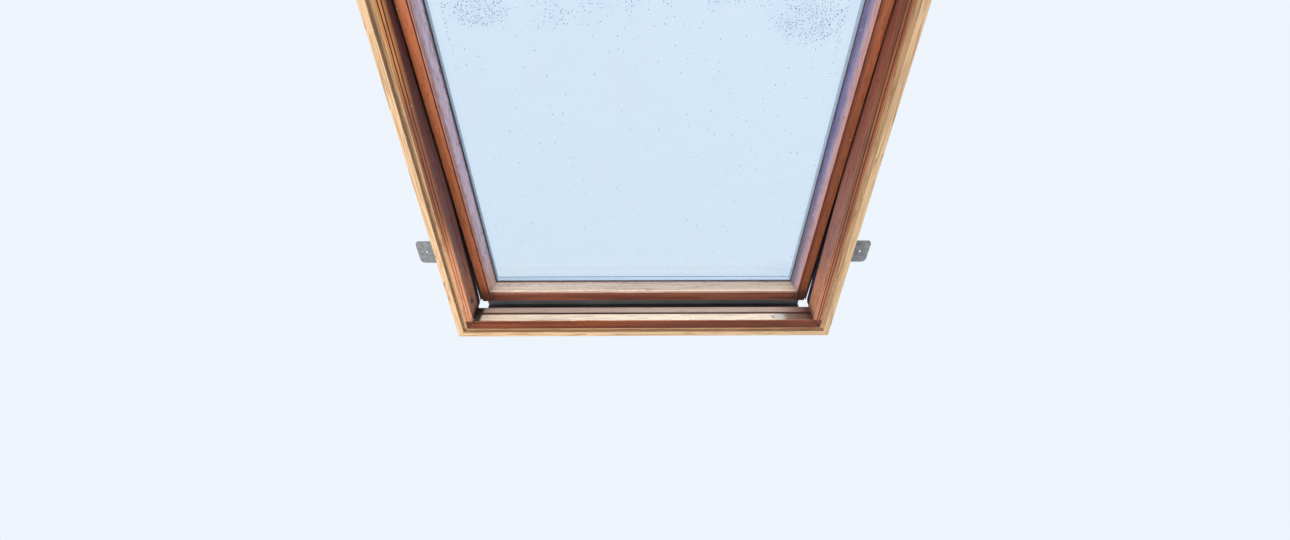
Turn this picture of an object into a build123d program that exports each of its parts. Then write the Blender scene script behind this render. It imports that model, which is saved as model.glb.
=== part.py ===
from build123d import *
from math import asin, degrees, sqrt
import os

# A centre-pivot roof window for a pitched roof: a timber frame and a timber sash with a
# sealed double pane, both clad outside in folded aluminium sheet.
# X runs across the window, +Y points up the roof and +Z points out to the sky.
# Left (+X) and right are as seen from the room. The origin is the centre of the four
# bracket screw holes, on the plane where the brackets lie on the roof battens.
# Depths are measured outward from the frame's room face.

# Frame
frame_width = 942
frame_length = 1600
batten_depth = 44
lining_lap = 26.5
side_face = 20.6
bottom_face = 26
top_face = 19
stop_depth = 52
stop_step = 4.7
bottom_rail_depth = 50
upper_wall_depth = 85
lower_wall_drop = 9
arris = 2.5
lining_groove_width = 12.5
lining_groove_depth = 10
reed_width = 1.6
reed_depth = 0.9
reed_places = (0.38, 0.68)
seal_groove_low = 25.5
seal_groove_width = 4
seal_groove_depth = 2.5

# Sash
sash_gap = 3.4
sash_recess = 16
sash_side_face = 25.6
sash_bottom_face = 33
sash_top_face = 70
bevel_width = 15.6
bevel_depth = 20
glass_lip = 2
upper_sash_drop = 5
bottom_cover_rise = 2
quirk_width = 1.6
quirk_depth = 0.9
quirk_inset = 2.4

# Glass unit
pane_thickness = 4
pane_gap = 12
glass_cover = 13.7
glass_edge_play = 3
gasket_thickness = 1.5
gasket_width = 11
gasket_proud = 0.7
spacer_width = 11
edge_seal_width = 4
setting_block_share = 0.6
setting_block_length = 80

# Opening
vent_opening = 4.6
pivot_drop = 1
pivot_zone = 34

# Cladding
sheet = 1.2
cover_start = 2
cover_slope = 14
cover_tip_inset = 17.4
cover_hem = 6
cover_edge = 1
cover_gap = 0.05
lower_cover_width = 31
upper_cover_width = 66
skirt_depth = 48
bottom_skirt_depth = 24
bottom_cover_play = 0.6
bottom_cover_step = 4
bottom_lip = 16.4
bottom_lip_gap = 3.3
hood_lap = 18
hood_rise = 22
hood_slope = 16
hood_brow = 10

# Frame seals
seal_leg = 1
seal_bulb_start = 1.8
seal_bulb_width = 8
seal_squeeze = 0.5
upper_seal_place = 3
upper_seal_width = 6
bottom_seal_place = 17.5
bottom_seal_width = 8

# Pivots
pin_radius = 7
pin_play = 0.05
pivot_head_radius = 13
pivot_plate_half = 30
pivot_foot_drop = 39
pivot_shoulder_drop = 12
pivot_arm_thickness = 6
pivot_housing_width = 18
pin_reach = 14
pin_end_play = 1.5
pocket_play = 0.1
washer_radius = 12
washer_play = 0.15

# Brackets on the frame
bracket_hole_reach = 38
bracket_setback = 230
bracket_width = 60
bracket_edge = 20
bracket_drop = 26
bracket_thickness = 2.5
bracket_hole_radius = 3
bracket_screw_spacing = 34
screw_radius = 2
screw_length = 20
screw_play = 0.05
screw_head_radius = 4.2
screw_head_height = 2.4

# Small screws of the cladding
cover_screw_radius = 1.5
cover_screw_length = 14
cover_screw_head = 3
cover_screw_head_height = 1.6
cover_screw_depth = 62
cover_screw_first = 90
cover_screw_setback = 140
sash_screw_inset = 20

# Ventilation flap and control bar
flap_end_gap = 2.2
flap_low = 15
flap_height = 52
flap_thickness = 12
flap_play = 1
flap_pin_radius = 3
flap_pin_reach = 12
flap_side_play = 0.3
flap_bracket_thickness = 5
flap_bracket_half = 7
bar_depth = 12
bar_width = 20
bar_rounding = 4
bar_gap = 15
bar_wall = 1.8
bar_inset = 12
bar_cap = 2
bar_post_width = 14
bar_post_height = 10
bar_post_inset = 45
vent_slot_width = 12
vent_slot_start = 75
vent_slot_inset = 15
vent_slot_place = 38
filter_thickness = 10

# Lock
lock_case_half = 45
lock_case_length = 34
lock_case_thickness = 26
lock_depth = 30
tongue_half = 15
tongue_thickness = 6
tongue_throw = 12
tongue_length = 30
tongue_play = 0.2
strike_half = 34
strike_width = 26
strike_thickness = 2
strike_play = 0.8
strike_pocket = 16

# Barrel bolt
bolt_radius = 4
bolt_play = 0.05
bolt_lift = 7.5
bolt_length = 67
bolt_throw = 13
bolt_tip_inset = 1
bolt_plate_inset = 2.6
bolt_plate_length = 54
bolt_plate_width = 22
bolt_plate_thickness = 2
bolt_guide_length = 11
bolt_guide_wall = 2.5
bolt_knob_radius = 2.6
bolt_knob_height = 13
bolt_knob_place = 30.5
bush_radius = 7
bush_bore = 4.5
bush_length = 16
bush_flange_radius = 9
bush_flange = 0.8
clean_hole_rise = 74.5
clean_hole_depth = 22.6

# Places worked out from the sizes above
half_width = frame_width / 2
half_length = frame_length / 2
inner_half = half_width - lining_lap - side_face
bottom_inner = -half_length + lining_lap + bottom_face
top_inner = half_length - lining_lap - top_face
pivot_y = (bottom_inner + top_inner) / 2
pivot_depth = upper_wall_depth - pivot_drop
pivot_plate_foot = pivot_depth - pivot_foot_drop
pivot_plate_shoulder = pivot_depth - pivot_shoulder_drop
lower_wall_depth = upper_wall_depth - lower_wall_drop
upper_sash_depth = upper_wall_depth - upper_sash_drop
zone_low = pivot_y - pivot_zone
zone_high = pivot_y + pivot_zone
sash_side = inner_half - sash_gap
sash_low = bottom_inner + sash_gap
sash_high = top_inner - sash_gap
stile_inner = sash_side - sash_side_face
sight_side = stile_inner - bevel_width
bottom_rail_inner = sash_low + sash_bottom_face
top_rail_inner = sash_high - sash_top_face
sight_low = bottom_rail_inner + bevel_width
sight_high = top_rail_inner - bevel_width
rebate_depth = sash_recess + bevel_depth + glass_lip
inner_pane_depth = rebate_depth + gasket_thickness
outer_pane_depth = inner_pane_depth + pane_thickness + pane_gap
glass_top_depth = outer_pane_depth + pane_thickness
cover_seat = glass_top_depth + gasket_thickness
bottom_sash_depth = cover_seat + bottom_cover_rise
glass_side = sight_side + glass_cover
glass_low = sight_low - glass_cover
glass_high = sight_high + glass_cover
rebate_side = glass_side + glass_edge_play
setting_block_place = glass_side * setting_block_share
rebate_low = glass_low - glass_edge_play
rebate_high = glass_high + glass_edge_play
cover_inner = sight_side + cover_start
hood_low = sash_high - hood_lap
lip_inner = -half_length - sheet - bottom_lip_gap
cover_tip = half_width - cover_tip_inset
lower_cover_inner = half_width - lower_cover_width
upper_cover_inner = half_width - upper_cover_width
bottom_cover_half = inner_half + stop_step - seal_leg - bottom_cover_play
screw_x = sash_side - sash_screw_inset
cover_screw_last = half_length - cover_screw_setback
cover_screw_places = (cover_screw_first, (cover_screw_first + cover_screw_last) / 2,
                      cover_screw_last)
bracket_x = half_width + bracket_hole_reach
bracket_y = half_length - bracket_setback
flap_half = (sash_side - bolt_tip_inset - bolt_length - flap_end_gap
             - flap_bracket_thickness - flap_side_play)
vent_slot_end = flap_half - vent_slot_inset
bar_post_place = flap_half - bar_post_inset


def out(depth):
    """Height above the batten plane of a depth measured from the room face."""
    return depth - batten_depth


pivot_axis = Axis((0, pivot_y, out(pivot_depth)), (-1, 0, 0))

# The barrel bolt meets its lower hole when the sash is turned over for cleaning. Both
# stand equally far from the pivot, which gives the bolt's place and the cleaning angle.
hole_y = -half_length + lining_lap + clean_hole_rise
hole_drop = pivot_depth - clean_hole_depth
bolt_depth = sash_recess - bolt_lift
bolt_drop = pivot_depth - bolt_depth
hole_reach = sqrt((pivot_y - hole_y) ** 2 + hole_drop ** 2)
bolt_y = pivot_y + sqrt(hole_reach ** 2 - bolt_drop ** 2)
clean_opening = 180 - degrees(asin(bolt_drop / hole_reach) + asin(hole_drop / hole_reach))

os.makedirs("parts", exist_ok=True)


def keep(piece, name):
    """Label a finished piece and write it where it stands."""
    piece.part.label = name
    export_step(piece.part, f"parts/{name}.step")


def keep_on_sash(piece, name):
    """Write a piece of the sash, turned with it from closed to the resting opening."""
    piece.part = piece.part.rotate(pivot_axis, vent_opening)
    keep(piece, name)


def right_hand(piece):
    """The mirror image of a left-hand piece."""
    with BuildPart() as other:
        mirror(piece.part, about=Plane.YZ)
    return other


def along_y(points, low, high, mode=Mode.ADD):
    """Extrude an outline drawn in X and Z from one Y to another."""
    with BuildSketch(Plane.XZ.offset(-high)) as outline:
        with BuildLine():
            Polyline(*points, close=True)
        make_face()
    extrude(outline.sketch, amount=high - low, mode=mode)


def along_x(points, low, high, mode=Mode.ADD):
    """Extrude an outline drawn in Y and Z from one X to another."""
    with BuildSketch(Plane.YZ.offset(low)) as outline:
        with BuildLine():
            Polyline(*points, close=True)
        make_face()
    extrude(outline.sketch, amount=high - low, mode=mode)


def block(x_range, y_range, z_range, mode=Mode.ADD):
    """A block between two corners."""
    x_low, x_high = sorted(x_range)
    y_low, y_high = sorted(y_range)
    z_low, z_high = sorted(z_range)
    with Locations(((x_low + x_high) / 2, (y_low + y_high) / 2, (z_low + z_high) / 2)):
        Box(x_high - x_low, y_high - y_low, z_high - z_low, mode=mode)


def rod(start, direction, length, radius, mode=Mode.ADD):
    """A round rod or hole from a point along a direction."""
    with BuildSketch(Plane(origin=start, z_dir=direction)) as circle:
        Circle(radius)
    extrude(circle.sketch, amount=length, mode=mode)


def folded_sheet(plane, points, length, side=Side.LEFT):
    """Sheet metal folded along a line of points, its thickness on one side of the line."""
    with BuildSketch(plane) as section:
        with BuildLine():
            Polyline(*points)
            offset(amount=sheet, side=side, kind=Kind.INTERSECTION)
        make_face()
    extrude(section.sketch, amount=length)


def mitre(outer, inner, keep_side):
    """A vertical cutting plane through two corner points, facing the side to keep."""
    run = Vector(outer[0] - inner[0], outer[1] - inner[1], 0)
    normal = Vector(-run.Y, run.X, 0)
    to_side = Vector(keep_side[0] - inner[0], keep_side[1] - inner[1], 0)
    if normal.dot(to_side) < 0:
        normal = normal * -1
    return Plane(origin=(inner[0], inner[1], 0), z_dir=(normal.X, normal.Y, 0))


def cut_corner(side, end, piece):
    """Cut a stile, a rail or its cladding back to the mitre at one corner of the frame.

    The mitre crosses the visible face from corner to corner, so the reeds meet, and then
    runs at 45 degrees to the outer corner, so the lining grooves meet.
    """
    inner = bottom_inner if end < 0 else top_inner
    face = bottom_face if end < 0 else top_face
    start = (side * (inner_half - side_face), inner - end * face)
    groove_corner = (side * (inner_half + side_face), inner + end * face)
    beyond = (side * (half_width + lining_lap), end * (half_length + lining_lap))
    far = (start[0], beyond[1]) if piece == "stile" else (beyond[0], start[1])
    with BuildSketch(Plane.XY.offset(out(-1))) as waste:
        with BuildLine():
            Polyline(start, groove_corner, beyond, far, close=True)
        make_face()
    extrude(waste.sketch, amount=upper_wall_depth + hood_rise, mode=Mode.SUBTRACT)


def member_outline(inner, outer, face, depth, step_depth):
    """A frame member's outline from its inner face to its outer face.

    The room face has a rounded inner arris, two reeds and the groove for the lining. The
    inner face has the groove of the room-side seal and, past step_depth, steps back.
    """
    way = 1 if outer > inner else -1
    reeds = []
    for share in reed_places:
        middle = inner + way * face * share
        reeds += [(middle - way * reed_width / 2, out(0)), (middle, out(reed_depth)),
                  (middle + way * reed_width / 2, out(0))]
    groove_start = inner + way * face
    groove_end = groove_start + way * lining_groove_width
    seal_floor = inner + way * seal_groove_depth
    step = inner + way * stop_step if step_depth < depth else inner
    return [(inner, out(arris)), (inner + way * arris * 0.29, out(arris * 0.29)),
            (inner + way * arris, out(0)), *reeds,
            (groove_start, out(0)), (groove_start, out(lining_groove_depth)),
            (groove_end, out(lining_groove_depth)), (groove_end, out(0)),
            (outer, out(0)), (outer, out(depth)), (step, out(depth)),
            *([(step, out(step_depth)), (inner, out(step_depth))] if step != inner else []),
            (inner, out(seal_groove_low + seal_groove_width)),
            (seal_floor, out(seal_groove_low + seal_groove_width)),
            (seal_floor, out(seal_groove_low)), (inner, out(seal_groove_low))]


# Frame stiles: full height above the pivot, lower below it, with a pocket for the pivot
with BuildPart() as plain_stile:
    along_y(member_outline(inner_half, half_width, side_face, upper_wall_depth, stop_depth),
            -half_length, half_length)
    block((inner_half - 1, half_width + 1), (-half_length - 1, zone_high),
          (out(lower_wall_depth), out(upper_wall_depth + 1)), Mode.SUBTRACT)
    block((inner_half - 1, inner_half + pivot_housing_width + pocket_play),
          (pivot_y - pivot_plate_half - pocket_play, pivot_y + pivot_plate_half + pocket_play),
          (out(pivot_plate_foot), out(upper_wall_depth + 1)), Mode.SUBTRACT)
    cut_corner(1, -1, "stile")
    cut_corner(1, 1, "stile")
    for end in (-1, 1):
        for step in (-bracket_screw_spacing / 2, bracket_screw_spacing / 2):
            rod((half_width, end * bracket_y + step, -bracket_drop / 2), (-1, 0, 0),
                screw_length, screw_radius + screw_play, Mode.SUBTRACT)
    for place in cover_screw_places:
        for way in (-1, 1):
            rod((half_width, pivot_y + way * place, out(cover_screw_depth)), (-1, 0, 0),
                cover_screw_length, cover_screw_radius + screw_play, Mode.SUBTRACT)
frame_right_stile = right_hand(plain_stile)
keep(frame_right_stile, "frame_right_stile")

bush_places = {"cleaning_bush": (hole_y, out(clean_hole_depth)),
               "closing_bush": (bolt_y, out(bolt_depth))}
with BuildPart() as frame_left_stile:
    add(plain_stile.part)
    for place in bush_places.values():
        rod((inner_half - 1, *place), (1, 0, 0), bush_length + 1, bush_radius, Mode.SUBTRACT)
        rod((inner_half - 1, *place), (1, 0, 0), bush_flange + 1, bush_flange_radius,
            Mode.SUBTRACT)
keep(frame_left_stile, "frame_left_stile")

# Bushes that take the end of the barrel bolt
for name, place in bush_places.items():
    with BuildPart() as bush:
        rod((inner_half, *place), (1, 0, 0), bush_length, bush_radius)
        rod((inner_half, *place), (1, 0, 0), bush_flange, bush_flange_radius)
        rod((inner_half - 1, *place), (1, 0, 0), bush_length + 2, bush_bore, Mode.SUBTRACT)
    keep(bush, name)

# Frame rails, mitred between the stiles. The bottom rail stays low to let water out.
with BuildPart() as frame_bottom_rail:
    along_x(member_outline(bottom_inner, -half_length, bottom_face, bottom_rail_depth,
                           bottom_rail_depth), -half_width, half_width)
    for side in (1, -1):
        cut_corner(side, -1, "rail")
keep(frame_bottom_rail, "frame_bottom_rail")

strike_depth = sash_recess + lock_depth
strike_z = (out(strike_depth - strike_width / 2), out(strike_depth + strike_width / 2))
slot_half = tongue_half + strike_play
slot_z = (out(strike_depth - tongue_thickness / 2 - strike_play),
          out(strike_depth + tongue_thickness / 2 + strike_play))
with BuildPart() as frame_top_rail:
    along_x(member_outline(top_inner, half_length, top_face, upper_wall_depth,
                           upper_wall_depth), -half_width, half_width)
    for side in (1, -1):
        cut_corner(side, 1, "rail")
    block((-strike_half, strike_half), (top_inner - 1, top_inner + strike_thickness),
          strike_z, Mode.SUBTRACT)
    block((-slot_half, slot_half), (top_inner - 1, top_inner + strike_pocket), slot_z,
          Mode.SUBTRACT)
keep(frame_top_rail, "frame_top_rail")

# Strike plate for the latch tongue, let in flush
with BuildPart() as strike_plate:
    block((-strike_half, strike_half), (top_inner, top_inner + strike_thickness), strike_z)
    block((-slot_half, slot_half), (top_inner - 1, top_inner + strike_thickness + 1), slot_z,
          Mode.SUBTRACT)
keep(strike_plate, "strike_plate")

# Rubber seals: below the pivot on the stile's wall, with a bulb that meets the sash cover,
# and above it a strip under the frame's own cladding that the sash closes against
seal_wall = inner_half + stop_step
bulb_inner = seal_wall + seal_bulb_start
bulb_outer = bulb_inner + seal_bulb_width
bulb_top = out(upper_wall_depth - seal_squeeze)
with BuildPart() as left_seal:
    along_y([(seal_wall - seal_leg, out(stop_depth)), (seal_wall, out(stop_depth)),
             (seal_wall, out(lower_wall_depth)), (bulb_outer, out(lower_wall_depth)),
             (bulb_outer, bulb_top), (bulb_inner, bulb_top),
             (seal_wall - seal_leg, out(lower_wall_depth + seal_leg))],
            bottom_inner, zone_low)
keep(left_seal, "lower_seal_left")
right_seal = right_hand(left_seal)
keep(right_seal, "lower_seal_right")

upper_seal_out = upper_cover_inner + upper_seal_place + upper_seal_width
upper_seal_high = hood_low + upper_seal_place + upper_seal_width
with BuildPart() as upper_seal:
    with BuildSketch(Plane.XY.offset(out(upper_sash_depth + sheet + seal_squeeze))):
        with Locations((0, (zone_high + upper_seal_high) / 2)):
            Rectangle(2 * upper_seal_out, upper_seal_high - zone_high)
        with Locations((0, (zone_high + upper_seal_high) / 2 - upper_seal_width)):
            Rectangle(2 * (upper_seal_out - upper_seal_width), upper_seal_high - zone_high,
                      mode=Mode.SUBTRACT)
    extrude(amount=upper_wall_depth - upper_sash_depth - sheet - seal_squeeze)
keep(upper_seal, "upper_seal")

with BuildPart() as bottom_seal:
    bottom_seal_y = bottom_inner - bottom_seal_place
    block((-bottom_cover_half, bottom_cover_half),
          (bottom_seal_y - bottom_seal_width, bottom_seal_y),
          (out(bottom_rail_depth + sheet), out(bottom_sash_depth - seal_squeeze)))
keep(bottom_seal, "bottom_seal")

# Outside cladding of the frame, with holes for its screws
skirt = (half_width, out(skirt_depth))


def frame_cover(inner, depth, low, high, screw_way):
    """A left-hand cover over a stile's top, folded down its outer face."""
    with BuildPart() as cover:
        folded_sheet(Plane.XZ.offset(-high), [(inner, out(depth)), (half_width, out(depth)),
                                              skirt], high - low)
        cut_corner(1, -1, "stile")
        for place in cover_screw_places:
            rod((half_width - 1, pivot_y + screw_way * place, out(cover_screw_depth)),
                (1, 0, 0), sheet + 2, cover_screw_radius + screw_play, Mode.SUBTRACT)
    return cover


left_lower_cover = frame_cover(lower_cover_inner, lower_wall_depth, -half_length - sheet,
                               zone_low, -1)
keep(left_lower_cover, "frame_cover_lower_left")
right_lower_cover = right_hand(left_lower_cover)
keep(right_lower_cover, "frame_cover_lower_right")
left_upper_cover = frame_cover(upper_cover_inner, upper_wall_depth, zone_high, hood_low, 1)
keep(left_upper_cover, "frame_cover_upper_left")
right_upper_cover = right_hand(left_upper_cover)
keep(right_upper_cover, "frame_cover_upper_right")

with BuildPart() as left_pivot_cover:
    cap_inner = inner_half + pivot_housing_width + pocket_play
    folded_sheet(Plane.XZ.offset(-zone_high), [(cap_inner, out(lower_wall_depth)),
                                               (half_width, out(lower_wall_depth)), skirt],
                 zone_high - zone_low)
keep(left_pivot_cover, "pivot_cover_left")
right_pivot_cover = right_hand(left_pivot_cover)
keep(right_pivot_cover, "pivot_cover_right")

with BuildPart() as frame_bottom_cover:
    folded_sheet(Plane.YZ.offset(-half_width),
                 [(bottom_inner - arris, out(bottom_rail_depth)),
                  (-half_length, out(bottom_rail_depth)),
                  (-half_length, out(bottom_skirt_depth))],
                 2 * half_width, Side.RIGHT)
    for side in (1, -1):
        cut_corner(side, -1, "rail")
keep(frame_bottom_cover, "frame_bottom_cover")

with BuildPart() as frame_cover_screws:
    for side in (1, -1):
        for place in cover_screw_places:
            for way in (-1, 1):
                y = pivot_y + way * place
                head = side * (half_width + sheet)
                rod((head, y, out(cover_screw_depth)), (side, 0, 0), cover_screw_head_height,
                    cover_screw_head)
                rod((head, y, out(cover_screw_depth)), (-side, 0, 0), cover_screw_length,
                    cover_screw_radius)
keep(frame_cover_screws, "frame_cover_screws")

# Top hood: a closed cap over the frame's top rail that laps over the top of the sash
hood_crown = out(upper_wall_depth + hood_rise)
hood_line = [(hood_low, out(upper_wall_depth)), (hood_low + hood_slope, hood_crown),
             (half_length - hood_brow, hood_crown), (half_length, hood_crown - hood_brow)]
hood_outer = [(hood_low, out(upper_wall_depth)), (hood_low, out(upper_wall_depth) + sheet),
              (hood_low + hood_slope, hood_crown + sheet),
              (half_length - hood_brow, hood_crown + sheet),
              (half_length + sheet, hood_crown - hood_brow),
              (half_length + sheet, out(skirt_depth)), (hood_low, out(skirt_depth))]
with BuildPart() as top_hood:
    along_x(hood_outer, -half_width - sheet, half_width + sheet)
    along_x([*hood_line, (half_length, out(skirt_depth - 1)),
             (hood_low - 1, out(skirt_depth - 1)), (hood_low - 1, out(upper_wall_depth))],
            -half_width, half_width, Mode.SUBTRACT)
keep(top_hood, "top_hood")

# Brackets that carry the frame on the battens, with the screws that hold them
leg_depth = batten_depth - bracket_drop
corner_brackets = {"bracket_top_left": (1, 1), "bracket_bottom_left": (1, -1),
                   "bracket_top_right": (-1, 1), "bracket_bottom_right": (-1, -1)}
for name, (side, end) in corner_brackets.items():
    with BuildPart() as bracket:
        y_range = (end * bracket_y - bracket_width / 2, end * bracket_y + bracket_width / 2)
        block((side * half_width, side * (bracket_x + bracket_edge)), y_range,
              (0, bracket_thickness))
        block((side * half_width, side * (half_width + bracket_thickness)), y_range,
              (out(leg_depth), bracket_thickness))
        outer_corners = bracket.edges().filter_by(Axis.Z).sort_by(Axis.X)
        fillet(outer_corners[-2:] if side > 0 else outer_corners[:2], bracket_edge / 2)
        with Locations((side * bracket_x, end * bracket_y, bracket_thickness)):
            Hole(bracket_hole_radius)
        for step in (-bracket_screw_spacing / 2, bracket_screw_spacing / 2):
            rod((side * (half_width - 1), end * bracket_y + step, -bracket_drop / 2),
                (side, 0, 0), bracket_thickness + 2, screw_radius + screw_play,
                Mode.SUBTRACT)
    keep(bracket, name)

with BuildPart() as bracket_screws:
    for side, end in corner_brackets.values():
        for step in (-bracket_screw_spacing / 2, bracket_screw_spacing / 2):
            head = (side * (half_width + bracket_thickness), end * bracket_y + step,
                    -bracket_drop / 2)
            rod(head, (side, 0, 0), screw_head_height, screw_head_radius)
            rod(head, (-side, 0, 0), screw_length, screw_radius)
keep(bracket_screws, "bracket_screws")


# Pivots: a housing let into the frame stile and an arm with its pin on the sash stile
def pivot_shape(start, width):
    """The plate shape that both halves share, rounded about the pin."""
    with BuildSketch(Plane.YZ.offset(start)) as shape:
        with Locations((pivot_y, out((pivot_plate_foot + pivot_plate_shoulder) / 2))):
            Rectangle(2 * pivot_plate_half, pivot_plate_shoulder - pivot_plate_foot)
        with Locations((pivot_y, out(pivot_depth))):
            Circle(pivot_head_radius)
        make_hull()
    extrude(shape.sketch, amount=width)


pin_start = (sash_side, pivot_y, out(pivot_depth))
with BuildPart() as left_housing:
    pivot_shape(inner_half, pivot_housing_width)
    rod((inner_half - 1, pivot_y, out(pivot_depth)), (1, 0, 0),
        pin_reach - sash_gap + pin_end_play + 1, pin_radius + pin_play, Mode.SUBTRACT)
keep(left_housing, "pivot_housing_left")
right_housing = right_hand(left_housing)
keep(right_housing, "pivot_housing_right")

with BuildPart() as left_arm:
    pivot_shape(sash_side - pivot_arm_thickness, pivot_arm_thickness)
    rod(pin_start, (1, 0, 0), pin_reach, pin_radius)
right_arm = right_hand(left_arm)
keep_on_sash(left_arm, "pivot_arm_left")
keep_on_sash(right_arm, "pivot_arm_right")

with BuildPart() as friction_washers:
    for side in (1, -1):
        washer_start = (side * (sash_side + washer_play), pivot_y, out(pivot_depth))
        rod(washer_start, (side, 0, 0), sash_gap - 2 * washer_play, washer_radius)
        rod(washer_start, (side, 0, 0), sash_gap, pin_radius + pin_play, Mode.SUBTRACT)
keep(friction_washers, "friction_washers")


# Sash members. The stiles run through, and the rails are scribed between them with their
# bevels mitred.
def sash_outline(outer, inner, sight, rebate, depth):
    """A sash member's outline, from its outer face in to the sight line of the glass."""
    way = 1 if outer > inner else -1
    face = out(sash_recess)
    quirk = inner + way * (quirk_inset + quirk_width / 2)
    return [(outer, out(sash_recess + arris)),
            (outer - way * arris * 0.29, out(sash_recess + arris * 0.29)),
            (outer - way * arris, face),
            (quirk + way * quirk_width / 2, face), (quirk, face + quirk_depth),
            (quirk - way * quirk_width / 2, face), (inner, face),
            (sight, out(sash_recess + bevel_depth)), (sight, out(rebate_depth)),
            (rebate, out(rebate_depth)), (rebate, out(depth)), (outer, out(depth))]


with BuildPart() as left_sash_stile:
    along_y(sash_outline(sash_side, stile_inner, sight_side, rebate_side, upper_wall_depth),
            sash_low, sash_high)
    block((sight_side - 1, sash_side + 1), (zone_low, sash_high + 1),
          (out(upper_sash_depth), out(upper_wall_depth + 1)), Mode.SUBTRACT)
    block((sash_side - pivot_arm_thickness - pocket_play, sash_side + 1),
          (pivot_y - pivot_plate_half - pocket_play, pivot_y + pivot_plate_half + pocket_play),
          (out(pivot_plate_foot), out(upper_wall_depth + 1)), Mode.SUBTRACT)
    for place in cover_screw_places:
        for way, depth in ((-1, upper_wall_depth), (1, upper_sash_depth)):
            rod((screw_x, pivot_y + way * place, out(depth)), (0, 0, -1),
                cover_screw_length, cover_screw_radius + screw_play, Mode.SUBTRACT)
    for rail_inner, beyond, way in ((bottom_rail_inner, sash_low - 1, 1),
                                    (top_rail_inner, sash_high + 1, -1)):
        with BuildSketch(Plane.XY.offset(out(0))) as scribe:
            with BuildLine():
                Polyline((stile_inner, rail_inner),
                         (sight_side - 1, rail_inner + way * (bevel_width + 1)),
                         (sight_side - 1, beyond), (stile_inner, beyond), close=True)
            make_face()
        extrude(scribe.sketch, amount=upper_wall_depth + 1, mode=Mode.SUBTRACT)
right_sash_stile = right_hand(left_sash_stile)
keep_on_sash(left_sash_stile, "sash_left_stile")
keep_on_sash(right_sash_stile, "sash_right_stile")


def scribe_ends(outer, inner, sight):
    """Cut a rail's bevel to the bevels of the stiles."""
    for side in (1, -1):
        split(bisect_by=mitre((side * stile_inner, inner), (side * sight_side, sight),
                              (0, outer)))


with BuildPart() as sash_bottom_rail:
    along_x(sash_outline(sash_low, bottom_rail_inner, sight_low, rebate_low,
                         bottom_sash_depth), -stile_inner, stile_inner)
    scribe_ends(sash_low, bottom_rail_inner, sight_low)
keep_on_sash(sash_bottom_rail, "sash_bottom_rail")

vent_y = sash_high - vent_slot_place
vent_y_range = (vent_y - vent_slot_width / 2, vent_y + vent_slot_width / 2)
lock_z = (out(strike_depth - lock_case_thickness / 2),
          out(strike_depth + lock_case_thickness / 2))
with BuildPart() as sash_top_rail:
    along_x(sash_outline(sash_high, top_rail_inner, sight_high, rebate_high,
                         upper_sash_depth), -stile_inner, stile_inner)
    scribe_ends(sash_high, top_rail_inner, sight_high)
    for side in (1, -1):
        block((side * vent_slot_start, side * vent_slot_end), vent_y_range,
              (out(0), out(upper_sash_depth + 1)), Mode.SUBTRACT)
    block((-lock_case_half, lock_case_half), (sash_high - lock_case_length, sash_high + 1),
          lock_z, Mode.SUBTRACT)
keep_on_sash(sash_top_rail, "sash_top_rail")

# Air filter strips in the two ventilation slots
filter_z = (out(upper_sash_depth - 1 - filter_thickness), out(upper_sash_depth - 1))
with BuildPart() as air_filters:
    for side in (1, -1):
        block((side * vent_slot_start, side * vent_slot_end), vent_y_range, filter_z)
keep_on_sash(air_filters, "air_filters")


# Sealed double pane with its spacer, edge seal, gaskets and setting blocks
def ring(outer_inset, inner_inset, low, high):
    """A rectangular ring whose sides stand in from the glass edge by the two insets."""
    length = glass_high - glass_low
    with BuildSketch(Plane.XY.offset(out(low))) as loop:
        with Locations((0, (glass_low + glass_high) / 2)):
            Rectangle(2 * (glass_side - outer_inset), length - 2 * outer_inset)
            Rectangle(2 * (glass_side - inner_inset), length - 2 * inner_inset,
                      mode=Mode.SUBTRACT)
    extrude(loop.sketch, amount=high - low)


glass_x = (-glass_side, glass_side)
glass_y = (glass_low, glass_high)
cavity_depth = inner_pane_depth + pane_thickness
with BuildPart() as inner_pane:
    block(glass_x, glass_y, (out(inner_pane_depth), out(cavity_depth)))
keep_on_sash(inner_pane, "inner_pane")
with BuildPart() as outer_pane:
    block(glass_x, glass_y, (out(outer_pane_depth), out(glass_top_depth)))
keep_on_sash(outer_pane, "outer_pane")
with BuildPart() as spacer_bar:
    ring(edge_seal_width, edge_seal_width + spacer_width, cavity_depth, outer_pane_depth)
keep_on_sash(spacer_bar, "spacer_bar")
with BuildPart() as edge_seal:
    ring(0, edge_seal_width, cavity_depth, outer_pane_depth)
keep_on_sash(edge_seal, "edge_seal")
with BuildPart() as inner_gasket:
    ring(glass_cover + gasket_proud - gasket_width, glass_cover + gasket_proud,
         rebate_depth, inner_pane_depth)
keep_on_sash(inner_gasket, "inner_gasket")
with BuildPart() as outer_gasket:
    ring(0, gasket_width, glass_top_depth, cover_seat)
keep_on_sash(outer_gasket, "outer_gasket")
with BuildPart() as setting_blocks:
    for x in (-setting_block_place, setting_block_place):
        block((x - setting_block_length / 2, x + setting_block_length / 2),
              (rebate_low, glass_low), (out(inner_pane_depth), out(glass_top_depth)))
keep_on_sash(setting_blocks, "setting_blocks")

# Outside cladding of the sash. The lower covers reach out over the frame's seals, and the
# upper ones lie under the frame's cladding.
cover_foot = (cover_inner, out(cover_seat))


def cover_screw_holes(way):
    """Holes through a side cover for its screws, below (-1) or above (1) the pivot."""
    for place in cover_screw_places:
        rod((screw_x, pivot_y + way * place, out(upper_sash_depth - 1)), (0, 0, 1),
            upper_wall_depth - upper_sash_depth + sheet + 2, cover_screw_radius + screw_play,
            Mode.SUBTRACT)


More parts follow.
